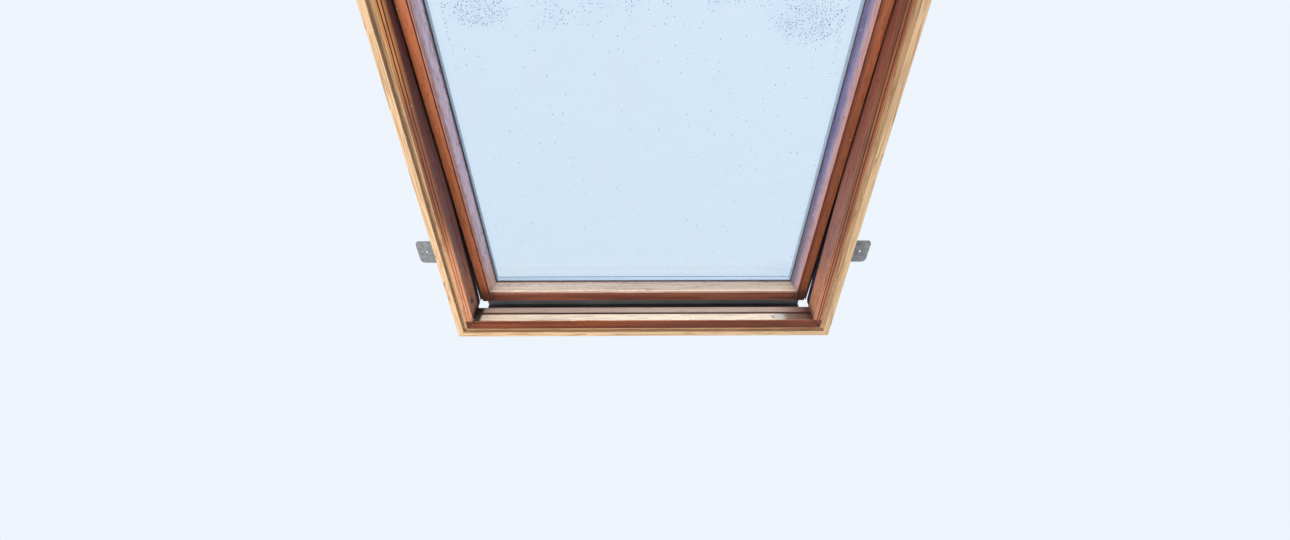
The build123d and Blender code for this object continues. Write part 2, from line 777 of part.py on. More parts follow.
with BuildPart() as left_lower_sash_cover:
    folded_sheet(Plane.XZ.offset(-zone_low),
                 [cover_foot, (cover_inner + cover_slope, out(upper_wall_depth)),
                  (cover_tip - sheet, out(upper_wall_depth)),
                  (cover_tip - sheet, out(upper_wall_depth - cover_hem))],
                 zone_low - lip_inner)
    block((0, rebate_side), (lip_inner - 1, sash_low),
          (out(cover_seat - 5), out(upper_wall_depth + 5)), Mode.SUBTRACT)
    block((0, rebate_side), (sash_low - 1, rebate_low),
          (out(cover_seat - 5), out(bottom_sash_depth)), Mode.SUBTRACT)
    cover_screw_holes(-1)
right_lower_sash_cover = right_hand(left_lower_sash_cover)
keep_on_sash(left_lower_sash_cover, "sash_cover_lower_left")
keep_on_sash(right_lower_sash_cover, "sash_cover_lower_right")

with BuildPart() as sash_cover_screws:
    for side in (1, -1):
        for place in cover_screw_places:
            for way, depth in ((-1, upper_wall_depth), (1, upper_sash_depth)):
                head = (side * screw_x, pivot_y + way * place, out(depth + sheet))
                rod(head, (0, 0, 1), cover_screw_head_height, cover_screw_head)
                rod(head, (0, 0, -1), cover_screw_length, cover_screw_radius)
keep_on_sash(sash_cover_screws, "sash_cover_screws")

top_cover_low = sight_high + cover_start


def cover_mitre(side, keep_side):
    """The plane where a side cover and the top cover of the sash meet."""
    return mitre((side * (cover_inner + cover_slope), top_cover_low + cover_slope),
                 (side * cover_inner, top_cover_low), keep_side)


with BuildPart() as left_upper_sash_cover:
    folded_sheet(Plane.XZ.offset(-sash_high),
                 [cover_foot, (cover_inner + cover_slope, out(upper_sash_depth)),
                  (sash_side - cover_edge, out(upper_sash_depth))],
                 sash_high - zone_high)
    split(bisect_by=cover_mitre(1, (half_width, 0)))
    cover_screw_holes(1)
right_upper_sash_cover = right_hand(left_upper_sash_cover)
keep_on_sash(left_upper_sash_cover, "sash_cover_upper_left")
keep_on_sash(right_upper_sash_cover, "sash_cover_upper_right")

with BuildPart() as sash_top_cover:
    folded_sheet(Plane.YZ.offset(-sash_side + cover_edge),
                 [(top_cover_low, out(cover_seat)),
                  (top_cover_low + cover_slope, out(upper_sash_depth)),
                  (sash_high - cover_edge, out(upper_sash_depth))],
                 2 * (sash_side - cover_edge))
    for side in (1, -1):
        split(bisect_by=cover_mitre(side, (0, half_length)))
        block((side * vent_slot_start, side * vent_slot_end), vent_y_range,
              (out(upper_sash_depth - 1), out(upper_sash_depth + 5)), Mode.SUBTRACT)
keep_on_sash(sash_top_cover, "sash_top_cover")

rail_cover_half = cover_inner - sheet
cover_start_y = sight_low - cover_start
with BuildPart() as sash_bottom_cover:
    folded_sheet(Plane.YZ.offset(-bottom_cover_half),
                 [(cover_start_y, out(cover_seat)),
                  (cover_start_y - bottom_cover_step, out(bottom_sash_depth)),
                  (lip_inner, out(bottom_sash_depth)),
                  (lip_inner, out(bottom_sash_depth - bottom_lip))],
                 2 * bottom_cover_half, Side.RIGHT)
    for side in (1, -1):
        block((side * rail_cover_half, side * (bottom_cover_half + 1)),
              (sash_low - cover_gap, cover_start_y + sheet),
              (out(cover_seat - 5), out(bottom_sash_depth + 5)), Mode.SUBTRACT)
keep_on_sash(sash_bottom_cover, "sash_bottom_cover")


# Ventilation flap with the control bar, hinged on two end brackets at its lower edge
flap_y = top_rail_inner + flap_low
flap_depth = sash_recess - flap_play - flap_thickness / 2
flap_top = flap_y + flap_height
flap_face = flap_depth - flap_thickness / 2
bar_high = flap_top - bar_inset
bar_low_depth = flap_face - bar_gap - bar_depth
with BuildPart() as vent_flap:
    with BuildSketch(Plane.YZ.offset(-flap_half)) as flap_outline:
        with Locations((flap_y + flap_height / 2, out(flap_depth))):
            Rectangle(flap_height, flap_thickness)
        with Locations((flap_y, out(flap_depth))):
            Circle(flap_thickness / 2)
    extrude(flap_outline.sketch, amount=2 * flap_half)
    for side in (1, -1):
        rod((side * (flap_half + 1), flap_y, out(flap_depth)), (-side, 0, 0),
            flap_pin_reach + 2, flap_pin_radius + pin_play, Mode.SUBTRACT)
keep_on_sash(vent_flap, "vent_flap")

with BuildPart() as flap_brackets:
    for side in (1, -1):
        inside = side * (flap_half + flap_side_play)
        outside = side * (flap_half + flap_side_play + flap_bracket_thickness)
        block((inside, outside), (flap_y - flap_bracket_half, flap_y + flap_bracket_half),
              (out(sash_recess), out(flap_depth)))
        rod((outside, flap_y, out(flap_depth)), (-side, 0, 0), flap_bracket_thickness,
            flap_bracket_half)
        rod((inside, flap_y, out(flap_depth)), (-side, 0, 0), flap_pin_reach,
            flap_pin_radius)
    block((-sash_side, sash_side), (flap_y - 2 * flap_bracket_half, flap_y + flap_height),
          (out(sash_recess), out(sash_recess + flap_thickness)), Mode.SUBTRACT)
keep_on_sash(flap_brackets, "flap_brackets")

bar_middle = (bar_high - bar_width / 2, out(bar_low_depth + bar_depth / 2))
with BuildPart() as control_bar:
    with BuildSketch(Plane.YZ.offset(-flap_half + bar_cap)) as bar_section:
        with Locations(bar_middle):
            RectangleRounded(bar_width, bar_depth, bar_rounding)
            RectangleRounded(bar_width - 2 * bar_wall, bar_depth - 2 * bar_wall,
                             bar_rounding - bar_wall, mode=Mode.SUBTRACT)
    extrude(bar_section.sketch, amount=2 * (flap_half - bar_cap))
keep_on_sash(control_bar, "control_bar")

with BuildPart() as bar_caps:
    for start in (-flap_half, flap_half - bar_cap):
        with BuildSketch(Plane.YZ.offset(start)) as cap_section:
            with Locations(bar_middle):
                RectangleRounded(bar_width, bar_depth, bar_rounding)
        extrude(cap_section.sketch, amount=bar_cap)
keep_on_sash(bar_caps, "bar_caps")

with BuildPart() as bar_posts:
    for x in (-bar_post_place, 0, bar_post_place):
        block((x - bar_post_width / 2, x + bar_post_width / 2),
              (bar_middle[0] - bar_post_height / 2, bar_middle[0] + bar_post_height / 2),
              (out(flap_face - bar_gap), out(flap_face)))
keep_on_sash(bar_posts, "bar_posts")

# Lock case in the top rail, with the sliding tongue that the bar draws back
tongue_tip = sash_high + tongue_throw
with BuildPart() as lock_case:
    block((-lock_case_half, lock_case_half), (sash_high - lock_case_length, sash_high),
          lock_z)
    block((-tongue_half - tongue_play, tongue_half + tongue_play),
          (sash_high - tongue_length - tongue_play, sash_high + 1),
          (out(strike_depth - tongue_thickness / 2 - tongue_play),
           out(strike_depth + tongue_thickness / 2 + tongue_play)), Mode.SUBTRACT)
keep_on_sash(lock_case, "lock_case")
with BuildPart() as latch_tongue:
    block((-tongue_half, tongue_half), (tongue_tip - tongue_length, tongue_tip),
          (out(strike_depth - tongue_thickness / 2), out(strike_depth + tongue_thickness / 2)))
keep_on_sash(latch_tongue, "latch_tongue")

# Barrel bolt on the left of the sash's top rail
plate_end = sash_side - bolt_plate_inset
plate_start = plate_end - bolt_plate_length
bolt_tip = sash_side - bolt_tip_inset
plate_face = out(sash_recess - bolt_plate_thickness)
with BuildPart() as bolt_plate:
    block((plate_start, plate_end), (bolt_y - bolt_plate_width / 2,
                                     bolt_y + bolt_plate_width / 2),
          (plate_face, out(sash_recess)))
    for start in (plate_start, plate_end - bolt_guide_length):
        with BuildSketch(Plane.YZ.offset(start)) as guide:
            with Locations((bolt_y, out(bolt_depth))):
                Circle(bolt_radius + bolt_guide_wall)
            with Locations((bolt_y, plate_face - 0.5)):
                Rectangle(2 * (bolt_radius + bolt_guide_wall), 1)
            make_hull()
        extrude(guide.sketch, amount=bolt_guide_length)
    rod((plate_start - 1, bolt_y, out(bolt_depth)), (1, 0, 0), bolt_plate_length + 2,
        bolt_radius + bolt_play, Mode.SUBTRACT)
keep_on_sash(bolt_plate, "bolt_plate")
with BuildPart() as barrel_bolt:
    rod((bolt_tip - bolt_length, bolt_y, out(bolt_depth)), (1, 0, 0), bolt_length,
        bolt_radius)
    rod((bolt_tip - bolt_length + bolt_knob_place, bolt_y, out(bolt_depth)), (0, 0, -1),
        bolt_knob_height, bolt_knob_radius)
keep_on_sash(barrel_bolt, "barrel_bolt")

print(f"cleaning position {clean_opening:.3f} degrees from closed, bolt at Y {bolt_y:.2f}")
print(f"glass {2 * glass_side:.1f} x {glass_high - glass_low:.1f}, pivot at Y {pivot_y:.2f}")
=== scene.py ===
"""Dresses a centre-pivot roof window and sets it on a plain stage."""

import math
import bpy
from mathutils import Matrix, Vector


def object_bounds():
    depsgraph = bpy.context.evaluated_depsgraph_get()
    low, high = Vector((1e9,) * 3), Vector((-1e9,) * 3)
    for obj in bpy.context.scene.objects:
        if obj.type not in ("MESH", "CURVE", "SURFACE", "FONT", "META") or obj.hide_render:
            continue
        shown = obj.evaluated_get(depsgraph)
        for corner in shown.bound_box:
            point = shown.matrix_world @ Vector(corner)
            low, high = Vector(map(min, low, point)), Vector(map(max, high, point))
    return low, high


bl_info = {
    "name": "Roof Window",
    "version": (1, 0, 0),
    "blender": (4, 5, 0),
    "location": "3D View > Sidebar > Roof Window",
    "description": "Finishes the timber, glass, metal and rubber of a centre-pivot roof window",
    "category": "Object",
}

import bmesh
import bpy
from mathutils import Matrix, Vector

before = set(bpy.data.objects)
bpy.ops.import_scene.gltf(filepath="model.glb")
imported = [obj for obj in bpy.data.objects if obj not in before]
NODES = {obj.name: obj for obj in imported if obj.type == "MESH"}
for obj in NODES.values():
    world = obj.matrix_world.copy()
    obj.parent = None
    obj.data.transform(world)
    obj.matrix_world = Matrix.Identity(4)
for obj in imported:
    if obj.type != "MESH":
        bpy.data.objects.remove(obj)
CAD_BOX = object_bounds()

# The pivot axis in metres, and how far the sash stands open at rest
PIVOT = Vector((0.0, 0.0035, 0.040))
REST_OPENING = math.radians(4.6)

# Sizes of the timber that its finish follows, in metres from the pivot with the sash shut
ROOM_FACE = -0.084
FACE_SKIN = 0.0013
FRAME_SIDE = 0.4239
FRAME_END = 0.751
SIDE_FACE = 0.0206
BOTTOM_FACE = 0.026
TOP_FACE = 0.019
SEAL_GROOVE = (0.0255, 0.0295)
SILL_START = -0.70
MITRE = Vector((BOTTOM_FACE, SIDE_FACE)).normalized()
SASH_FACE = 0.016
BEVEL_DEPTH = 0.020
STILE_EDGE = 0.3949
QUIRK = 0.3981
RAIL_EDGE = -0.7147
CLAD_TIMBER = (-0.022, -0.012)

# Lines along the timber: middle, half width and soft edge in metres
GROOVE_LINE = (sum(SEAL_GROOVE) / 2, 0.0034, 0.0006)
MITRE_LINE = (0.0, 0.0007, 0.0008)
INNER_CORNER = (FRAME_SIDE, 0.0010, 0.0004)
QUIRK_LINE = (QUIRK, 0.0011, 0.0008)
QUIRK_SHADOW = (QUIRK + 0.0030, 0.0022, 0.0016)
RAIL_LINE = (RAIL_EDGE - 0.0035, 0.0018, 0.0020)

# How far into the rail the groove's painted shade reaches, the painted highlight on the edge of a
# sash stile between quirk and bevel, and where the left half begins
GROOVE_REACH = (0.0045, 0.0035)
HIGHLIGHT_EDGE = (QUIRK - 0.0014, QUIRK - 0.0020)
LEFT_HALF = (-0.1, 0.1)

# Stretches of the slope over which a finish comes in, in metres from the pivot
FACE_PALES = (-0.20, -0.56)
FACE_DARKENS = (-0.30, -0.06)
LINES_WEAR = (-0.36, -0.56)
LEFT_STREAKS = (-0.23, -0.12)
RIGHT_STREAKS = (-0.50, -0.36)
INNER_MAUVE = (-0.08, -0.40)
INNER_DAYLIGHT = (-0.50, -0.66)
INNER_REDDENS = (-0.50, -0.25)
INNER_SHADES = (-0.64, -0.45)
SASH_DEEPENS = (-0.08, -0.28)
SASH_BRIGHTENS = (-0.42, -0.62)
BEVEL_BLUES = (-0.62, -0.30)
BEVEL_WARMS = (-0.50, -0.62)
RUBBER_BLOOMS = (-0.60, -0.70)

# Darker places half way down the room face: middle, half length and soft edge
LEFT_SHADED = (-0.33, 0.08, 0.14)
RIGHT_SHADED = (-0.38, 0.10, 0.12)

# Depths from the room face between which the sill is painted sunlit, and where across it is
# painted shadow
SUNLIT_FROM = (0.0038, 0.0052)
SUNLIT_TO = (0.0283, 0.0266)
SILL_SHADOWED = (-0.342, -0.362)

# Dirt in the lower corners: across on the sill, then along the slope on the inner faces and the
# room face, then where the groove stays free of painted shade, then both on the sash
SILL_DIRT = (0.4035, 0.4125)
INNER_DIRT = (-0.722, -0.746)
FACE_DIRT = (-0.735, -0.750)
GROOVE_UNSHADED = (-0.745, -0.735)
SASH_DIRT = ((0.372, 0.405), (-0.690, -0.730))

# Dark lines along the room face: middle, half width and soft edge as shares of its width
REEDS = ((0.38, 0.045, 0.05), (0.68, 0.045, 0.05))
FINE_LINES = ((0.53, 0.012, 0.03), (0.84, 0.020, 0.03))
EDGE_LINE = (0.11, 0.020, 0.05)

# The chip of pale paint on the sill: across and from the room face, and its half sizes
CHIP_PLACE = (-0.338, 0.0145)
CHIP_REACH = (0.017, 0.0072)

# Two clusters of specks on the outer pane: across and up the slope, and their half sizes
SPECK_SPOTS = (((0.295, -0.066), (0.070, 0.034)), ((-0.300, -0.086), (0.085, 0.045)))

# Tones of the frame, as linear colours
LEFT_SHADE = (0.10, 0.038, 0.032)
RIGHT_SHADE = (0.13, 0.068, 0.056)
RIGHT_TOP = (0.10, 0.022, 0.014)
LEFT_STREAK = (0.60, 0.29, 0.085)
RIGHT_STREAK = (0.55, 0.20, 0.075)
FRAME_RAIL_DARK = (0.125, 0.023, 0.006)
FRAME_RAIL_LIGHT = (0.29, 0.074, 0.018)
# Painted daylight through the opening gap, low on the inner faces
INNER_DAYLIT = (0.54, 0.25, 0.155)
INNER_RED = (0.285, 0.092, 0.055)
INNER_SHADE = (0.16, 0.085, 0.10)
SILL_STREAK = (0.74, 0.51, 0.36)
# Painted shadow at the right end of the sunlit sill
SILL_SHADOW = (0.19, 0.095, 0.072)
# Painted shade in the sill's seal groove
GROOVE_SHADE = (0.030, 0.010, 0.008)
CHIP_PAINT = (0.66, 0.62, 0.57)
PINE_LATE_WOOD = (0.40, 0.23, 0.11)

# Tones of the sash
SASH_LIGHT = (0.40, 0.155, 0.075)
SASH_DEEP = (0.165, 0.052, 0.022)
SASH_BRIGHT = (0.56, 0.175, 0.075)
SASH_RAIL_DARK = (0.105, 0.033, 0.027)
SASH_RAIL_LIGHT = (0.215, 0.072, 0.042)
# Painted shade in the quirk, and painted shadow beside it on the right
QUIRK_SHADE_RED = (0.070, 0.012, 0.010)
QUIRK_SHADOW_RED = (0.13, 0.028, 0.020)
# Painted sky reflection on the bevels, navy by the glass
NAVY_LOW = (0.105, 0.098, 0.130)
NAVY_HIGH = (0.070, 0.088, 0.225)
BEVEL_LILAC = (0.36, 0.27, 0.34)
BEVEL_WARM = (0.62, 0.40, 0.285)
BEVEL_MOTTLE = (0.24, 0.19, 0.22)
BEVEL_RIM = (0.050, 0.055, 0.095)
# The lower bevel, painted sunlit over sun bleaching
BEVEL_CREAM = (0.90, 0.66, 0.54)
BEVEL_OAT = (0.57, 0.465, 0.385)
BEVEL_GREY = (0.42, 0.37, 0.35)
BEVEL_PEPPER = (0.17, 0.12, 0.10)
BEVEL_LINE = (0.05, 0.045, 0.045)

# Tones that all the timber shares
GRAIN_SHARE = (0.42, 0.36, 0.34)
GREYED = (0.085, 0.062, 0.050)
FLECK = (0.80, 0.78, 0.72)

# Tones of the glass, metal, rubber and plastic, and of the studio
WIPED = (0.90, 0.93, 0.96)
HAZE = (0.62, 0.75, 0.93)
LIGHT_THROUGH = (0.90, 0.94, 0.97)
# The spacer's pale blue stands in partly for the sky it mirrors, a painted reflection
SPACER_SKY_TONES = ((0.48, 0.56, 0.66), (0.54, 0.62, 0.72))
DUST = (0.24, 0.23, 0.21)
RAIN_RUN = (0.30, 0.29, 0.27)
SPANGLE_TONES = ((0.22, 0.23, 0.245), (0.34, 0.35, 0.365))
# Rubber bloom, its blue a painted sky reflection
RUBBER_BLOOM_SKY = (0.046, 0.053, 0.100)
PLASTIC_PORE = (0.16, 0.16, 0.165)
FOAM_HOLE = (0.008, 0.008, 0.009)
STUDIO_LIGHT = (0.93, 0.96, 1.0)

FRAME_STILES = ("frame_left_stile", "frame_right_stile")
FRAME_RAILS = ("frame_bottom_rail", "frame_top_rail")
SASH_STILES = ("sash_left_stile", "sash_right_stile")
SASH_RAILS = ("sash_bottom_rail", "sash_top_rail")
PANES = ("inner_pane", "outer_pane")
CLADDING = ("frame_cover_lower_left", "frame_cover_lower_right", "frame_cover_upper_left",
            "frame_cover_upper_right", "pivot_cover_left", "pivot_cover_right",
            "frame_bottom_cover", "top_hood", "sash_cover_lower_left", "sash_cover_lower_right",
            "sash_cover_upper_left", "sash_cover_upper_right", "sash_top_cover",
            "sash_bottom_cover")
FITTINGS = ("strike_plate", "lock_case", "latch_tongue", "bolt_plate", "barrel_bolt",
            "flap_brackets", "pivot_arm_left", "pivot_arm_right", "pivot_housing_left",
            "pivot_housing_right", "bracket_screws", "frame_cover_screws", "sash_cover_screws")
BRACKETS = ("bracket_top_left", "bracket_top_right", "bracket_bottom_left",
            "bracket_bottom_right")
RUBBERS = ("lower_seal_left", "lower_seal_right", "upper_seal", "bottom_seal", "inner_gasket",
           "outer_gasket", "edge_seal", "setting_blocks")
PLASTICS = ("cleaning_bush", "closing_bush", "friction_washers", "bar_caps", "bar_posts")


class Nodes:
    """Short ways to add shader nodes to one material."""

    def __init__(self, name):
        self.material = bpy.data.materials.new(name)
        self.material.use_nodes = True
        self.tree = self.material.node_tree
        self.tree.nodes.clear()
        self.output = self.tree.nodes.new("ShaderNodeOutputMaterial")
        self.coordinates = self.tree.nodes.new("ShaderNodeTexCoord")
        self.place = self.coordinates.outputs["Object"]

    def node(self, kind, **settings):
        made = self.tree.nodes.new(kind)
        for key, value in settings.items():
            setattr(made, key, value)
        return made

    def link(self, source, target):
        self.tree.links.new(source, target)

    def feed(self, socket, value):
        """Put a plain value or colour on a socket, or link another socket to it."""
        if isinstance(value, bpy.types.NodeSocket):
            self.link(value, socket)
        elif socket.type == "RGBA":
            socket.default_value = (*value, 1.0)
        else:
            socket.default_value = value

    def math(self, operation, first, second=0.0, clamp=False):
        made = self.node("ShaderNodeMath", operation=operation, use_clamp=clamp)
        self.feed(made.inputs[0], first)
        self.feed(made.inputs[1], second)
        return made.outputs[0]

    def times(self, *values):
        product = values[0]
        for value in values[1:]:
            product = self.math("MULTIPLY", product, value)
        return product

    def most(self, *values):
        greatest = values[0]
        for value in values[1:]:
            greatest = self.math("MAXIMUM", greatest, value)
        return greatest

    def add(self, first, second):
        return self.math("ADD", first, second)

    def minus(self, first, second):
        return self.math("SUBTRACT", first, second)

    def rest(self, share):
        """What a share leaves of one."""
        return self.math("SUBTRACT", 1.0, share)

    def below(self, value, limit):
        return self.math("LESS_THAN", value, limit)

    def above(self, value, limit):
        return self.math("GREATER_THAN", value, limit)

    def band(self, value, low, high, to_low=0.0, to_high=1.0):
        """Map a value smoothly from one range to another, clamped."""
        made = self.node("ShaderNodeMapRange", interpolation_type="SMOOTHSTEP")
        self.feed(made.inputs["Value"], value)
        made.inputs["From Min"].default_value = low
        made.inputs["From Max"].default_value = high
        made.inputs["To Min"].default_value = to_low
        made.inputs["To Max"].default_value = to_high
        return made.outputs["Result"]

    def near(self, value, centre, half, soft):
        """One where a value is within half of a centre, falling softly to nothing."""
        away = self.math("ABSOLUTE", self.minus(value, centre))
        return self.band(away, half + soft, half)

    def oval(self, x, y, centre, reach):
        """Squared distance from the middle of an oval, one at its edge."""
        across = self.math("DIVIDE", self.minus(x, centre[0]), reach[0])
        along = self.math("DIVIDE", self.minus(y, centre[1]), reach[1])
        return self.add(self.times(across, across), self.times(along, along))

    def mix(self, share, first, second, blend="MIX"):
        """Blend two colours."""
        made = self.node("ShaderNodeMix", data_type="RGBA", blend_type=blend)
        self.feed(made.inputs["Factor"], share)
        self.feed(made.inputs[6], first)
        self.feed(made.inputs[7], second)
        return made.outputs[2]

    def blend(self, share, first, second):
        """Blend two values."""
        made = self.node("ShaderNodeMix", data_type="FLOAT")
        self.feed(made.inputs["Factor"], share)
        self.feed(made.inputs[2], first)
        self.feed(made.inputs[3], second)
        return made.outputs[0]

    def ramp(self, value, stops):
        made = self.node("ShaderNodeValToRGB")
        self.feed(made.inputs[0], value)
        for element, (position, colour) in zip(made.color_ramp.elements, stops):
            element.position = position
            element.color = (*colour, 1.0)
        return made.outputs[0]

    def axes(self, vector):
        made = self.node("ShaderNodeSeparateXYZ")
        self.link(vector, made.inputs[0])
        return made.outputs

    def mapping(self, vector, location=(0, 0, 0), rotation=(0, 0, 0), scale=(1, 1, 1)):
        made = self.node("ShaderNodeMapping")
        self.link(vector, made.inputs["Vector"])
        made.inputs["Location"].default_value = location
        made.inputs["Rotation"].default_value = rotation
        made.inputs["Scale"].default_value = scale
        return made.outputs[0]

    def noise(self, vector, scale, detail=3.0, roughness=0.5, distortion=0.0):
        made = self.node("ShaderNodeTexNoise")
        self.link(vector, made.inputs["Vector"])
        made.inputs["Scale"].default_value = scale
        made.inputs["Detail"].default_value = detail
        made.inputs["Roughness"].default_value = roughness
        made.inputs["Distortion"].default_value = distortion
        return made.outputs["Fac"]

    def cells(self, vector, scale):
        """Distance from the middle of a cell, and a colour of its own."""
        made = self.node("ShaderNodeTexVoronoi")
        self.link(vector, made.inputs["Vector"])
        made.inputs["Scale"].default_value = scale
        return made.outputs["Distance"], made.outputs["Color"]

    def bump(self, height, strength, distance, normal=None):
        made = self.node("ShaderNodeBump")
        made.inputs["Strength"].default_value = strength
        made.inputs["Distance"].default_value = distance
        self.link(height, made.inputs["Height"])
        if normal is not None:
            self.link(normal, made.inputs["Normal"])
        return made.outputs[0]

    def rounded(self, radius):
        """Soften sharp edges in the shading alone."""
        made = self.node("ShaderNodeBevel", samples=4)
        made.inputs["Radius"].default_value = radius
        return made.outputs[0]

    def surface(self, colour, roughness, normal=None, **plain):
        """The main shader, joined to the output."""
        made = self.node("ShaderNodeBsdfPrincipled")
        self.feed(made.inputs["Base Color"], colour)
        self.feed(made.inputs["Roughness"], roughness)
        if normal is not None:
            self.link(normal, made.inputs["Normal"])
        for key, value in plain.items():
            self.feed(made.inputs[key.replace("_", " ")], value)
        self.link(made.outputs[0], self.output.inputs["Surface"])
        return made

    def from_pivot(self, on_sash):
        """Place seen from the pivot with the sash shut: across, up the slope, outward."""
        if not on_sash:
            return self.mapping(self.place, location=-PIVOT)
        turn = Matrix.Rotation(REST_OPENING, 3, "X")
        return self.mapping(self.place, location=-(turn @ PIVOT), rotation=(REST_OPENING, 0, 0))

    def facing(self, on_sash):
        """The direction a face looks in, turned with the sash as from_pivot is."""
        normal = self.coordinates.outputs["Normal"]
        return self.mapping(normal, rotation=(REST_OPENING if on_sash else 0.0, 0, 0))


class Reach:
    """Where a point of the timber lies and faces, as sockets that its stains share."""

    def __init__(self, n, on_sash):
        self.x, self.s, self.out = n.axes(n.from_pivot(on_sash))
        self.side = n.math("ABSOLUTE", self.x)
        self.end = n.math("ABSOLUTE", self.s)
        self.depth = n.minus(self.out, ROOM_FACE)
        _, self.faces_up, self.faces_out = n.axes(n.facing(on_sash))


class FrameReach(Reach):
    """The same for the frame, with how far past its inner edges a point lies."""

    def __init__(self, n):
        super().__init__(n, False)
        self.left = n.band(self.x, -0.1, 0.2)
        self.right = n.rest(self.left)
        self.past_side = n.minus(self.side, FRAME_SIDE)
        self.past_end = n.minus(self.end, FRAME_END)
        self.across = n.most(self.past_side, self.past_end)
        self.sill = n.times(n.band(self.faces_up, 0.5, 0.8), n.below(self.s, SILL_START))
        self.groove = n.times(n.near(self.depth, *GROOVE_LINE),
                              n.band(self.across, *GROOVE_REACH))


def colour_prop(name, description, default):
    return bpy.props.FloatVectorProperty(
        name=name, description=description, subtype="COLOR", size=3, min=0, max=1,
        default=default)


class TimberSettings(bpy.types.PropertyGroup):
    stain: colour_prop("Stain", "Orange brown stain of the sash", (0.42, 0.122, 0.044))
    dark_stain: colour_prop("Dark stain", "Stain where it lies thick", (0.115, 0.032, 0.018))
    ochre: colour_prop("Ochre", "Stain of the frame's room face", (0.27, 0.105, 0.028))
    paler: colour_prop("Faded", "Stain faded low on the frame", (0.66, 0.300, 0.170))
    plum: colour_prop("Plum", "Stain of the frame's inner faces", (0.17, 0.060, 0.058))
    # Painted sheen: the sky mirrored on the inner faces
    mauve: colour_prop("Mauve", "Sheen of the inner faces half way down", (0.34, 0.165, 0.150))
    pine: colour_prop("Pine", "Bare timber round the stained face", (0.60, 0.42, 0.25))
    # Grey from wear, with a painted sky reflection on the bevels
    worn_sky_sheen: colour_prop("Worn", "Bevels worn grey by damp", (0.60, 0.50, 0.635))
    # Painted highlight on the rounded edge beside the quirk, over wear
    edge_highlight: colour_prop("Blush", "Worn timber beside the quirk", (0.43, 0.240, 0.225))
    # Sun bleaching, painted as sunlit too
    bleached_and_sunlit: colour_prop("Bleached", "Timber bleached by the sun", (0.91, 0.70, 0.52))
    weathered: colour_prop("Weathered", "Grey beige timber near the seal", (0.48, 0.31, 0.245))
    # The dirt tone is also the colour of the painted crevice shade
    dirt: colour_prop("Dirt", "Dirt and mould in the corners", (0.016, 0.012, 0.012))
    grain_width: bpy.props.FloatProperty(
        name="Grain width", description="Usual distance between dark lines of grain",
        default=0.0042, min=0.001, max=0.02, unit="LENGTH")
    edge: bpy.props.FloatProperty(
        name="Edge", description="Radius that sharp timber edges are softened by",
        default=0.0011, min=0.0, max=0.005, unit="LENGTH")
    roughness: bpy.props.FloatProperty(
        name="Roughness", description="Roughness of the old varnish", default=0.36, min=0, max=1)


class GlassSettings(bpy.types.PropertyGroup):
    tint: colour_prop("Tint", "Colour that one pane lets through", (0.887, 0.952, 1.0))
    mould: colour_prop("Mould", "Colour of the specks on the outer pane", (0.085, 0.125, 0.25))
    speck_size: bpy.props.FloatProperty(
        name="Speck size", description="Usual distance between specks", default=0.0033,
        min=0.002, max=0.03, unit="LENGTH")


class MetalSettings(bpy.types.PropertyGroup):
    cladding: colour_prop("Cladding", "Paint on the outside cladding", (0.085, 0.092, 0.100))
    zinc: colour_prop("Zinc", "Zinc plated steel", (0.46, 0.47, 0.48))
    aluminium: colour_prop("Aluminium", "Anodised aluminium", (0.66, 0.66, 0.665))


class SoftSettings(bpy.types.PropertyGroup):
    rubber: colour_prop("Rubber", "Seals and gaskets", (0.009, 0.011, 0.024))
    plastic: colour_prop("Plastic", "Bushes, caps and washers", (0.12, 0.12, 0.125))
    filter: colour_prop("Filter", "Foam of the air filters", (0.05, 0.05, 0.052))


class StageSettings(bpy.types.PropertyGroup):
    background: colour_prop("Background", "Plain colour behind the object", (0.86, 0.91, 0.98))
    floor: colour_prop("Floor", "Plain colour of the floor", (0.80, 0.80, 0.80))
    floor_drop: bpy.props.FloatProperty(
        name="Floor drop", description="Distance from the object down to the floor",
        default=2.3, min=0.5, max=6, unit="LENGTH")
    focal_length: bpy.props.FloatProperty(
        name="Focal length", description="Focal length of the wide lens in millimetres",
        default=13.81, min=8, max=50)
    camera_place: bpy.props.FloatVectorProperty(
        name="Camera place", description="Where the camera stands, below the window",
        subtype="TRANSLATION", unit="LENGTH", size=3, default=(0.0096, 0.0902, -0.9575))
    camera_pitch: bpy.props.FloatProperty(
        name="Camera pitch", description="Angle of the view from straight down the slope",
        subtype="ANGLE", default=math.radians(53.31))
    camera_yaw: bpy.props.FloatProperty(
        name="Camera yaw", description="Small turn of the camera about the roof's normal",
        subtype="ANGLE", default=math.radians(-0.922))
    camera_roll: bpy.props.FloatProperty(
        name="Camera roll", description="Small turn of the camera about its own view",
        subtype="ANGLE", default=math.radians(-0.896))


def paint(names, material):
    """Give CAD pieces a finish."""
    for name in names:
        mesh = NODES[name].data
        mesh.materials.clear()
        mesh.materials.append(material)


def shaded(colour, share):
    """A plain colour made darker."""
    return tuple(part * share for part in colour)


def grain(n, settings, along, seed):
    """Pine grain along one axis: (dark late wood, fine streaks, slow streaks)."""
    across = 1.0 / settings.grain_width

    def stretched(wide, long):
        scale = [across * wide] * 3
        scale["XYZ".index(along)] = across * long
        return n.mapping(n.place, location=(seed, seed * 0.37, seed * 1.7), scale=scale)

    rings = n.noise(stretched(0.55, 0.016), scale=1.0, detail=2.0, roughness=0.45, distortion=0.6)
    rings = n.math("FRACT", n.times(rings, 6.0))
    late = n.math("SUBTRACT", n.band(rings, 0.55, 0.97), n.band(rings, 0.97, 1.0), clamp=True)
    fine = n.noise(stretched(3.2, 0.05), scale=1.0, detail=3.0, roughness=0.6)
    slow = n.noise(stretched(0.30, 0.012), scale=1.0, detail=3.0, roughness=0.55)
    return late, fine, slow


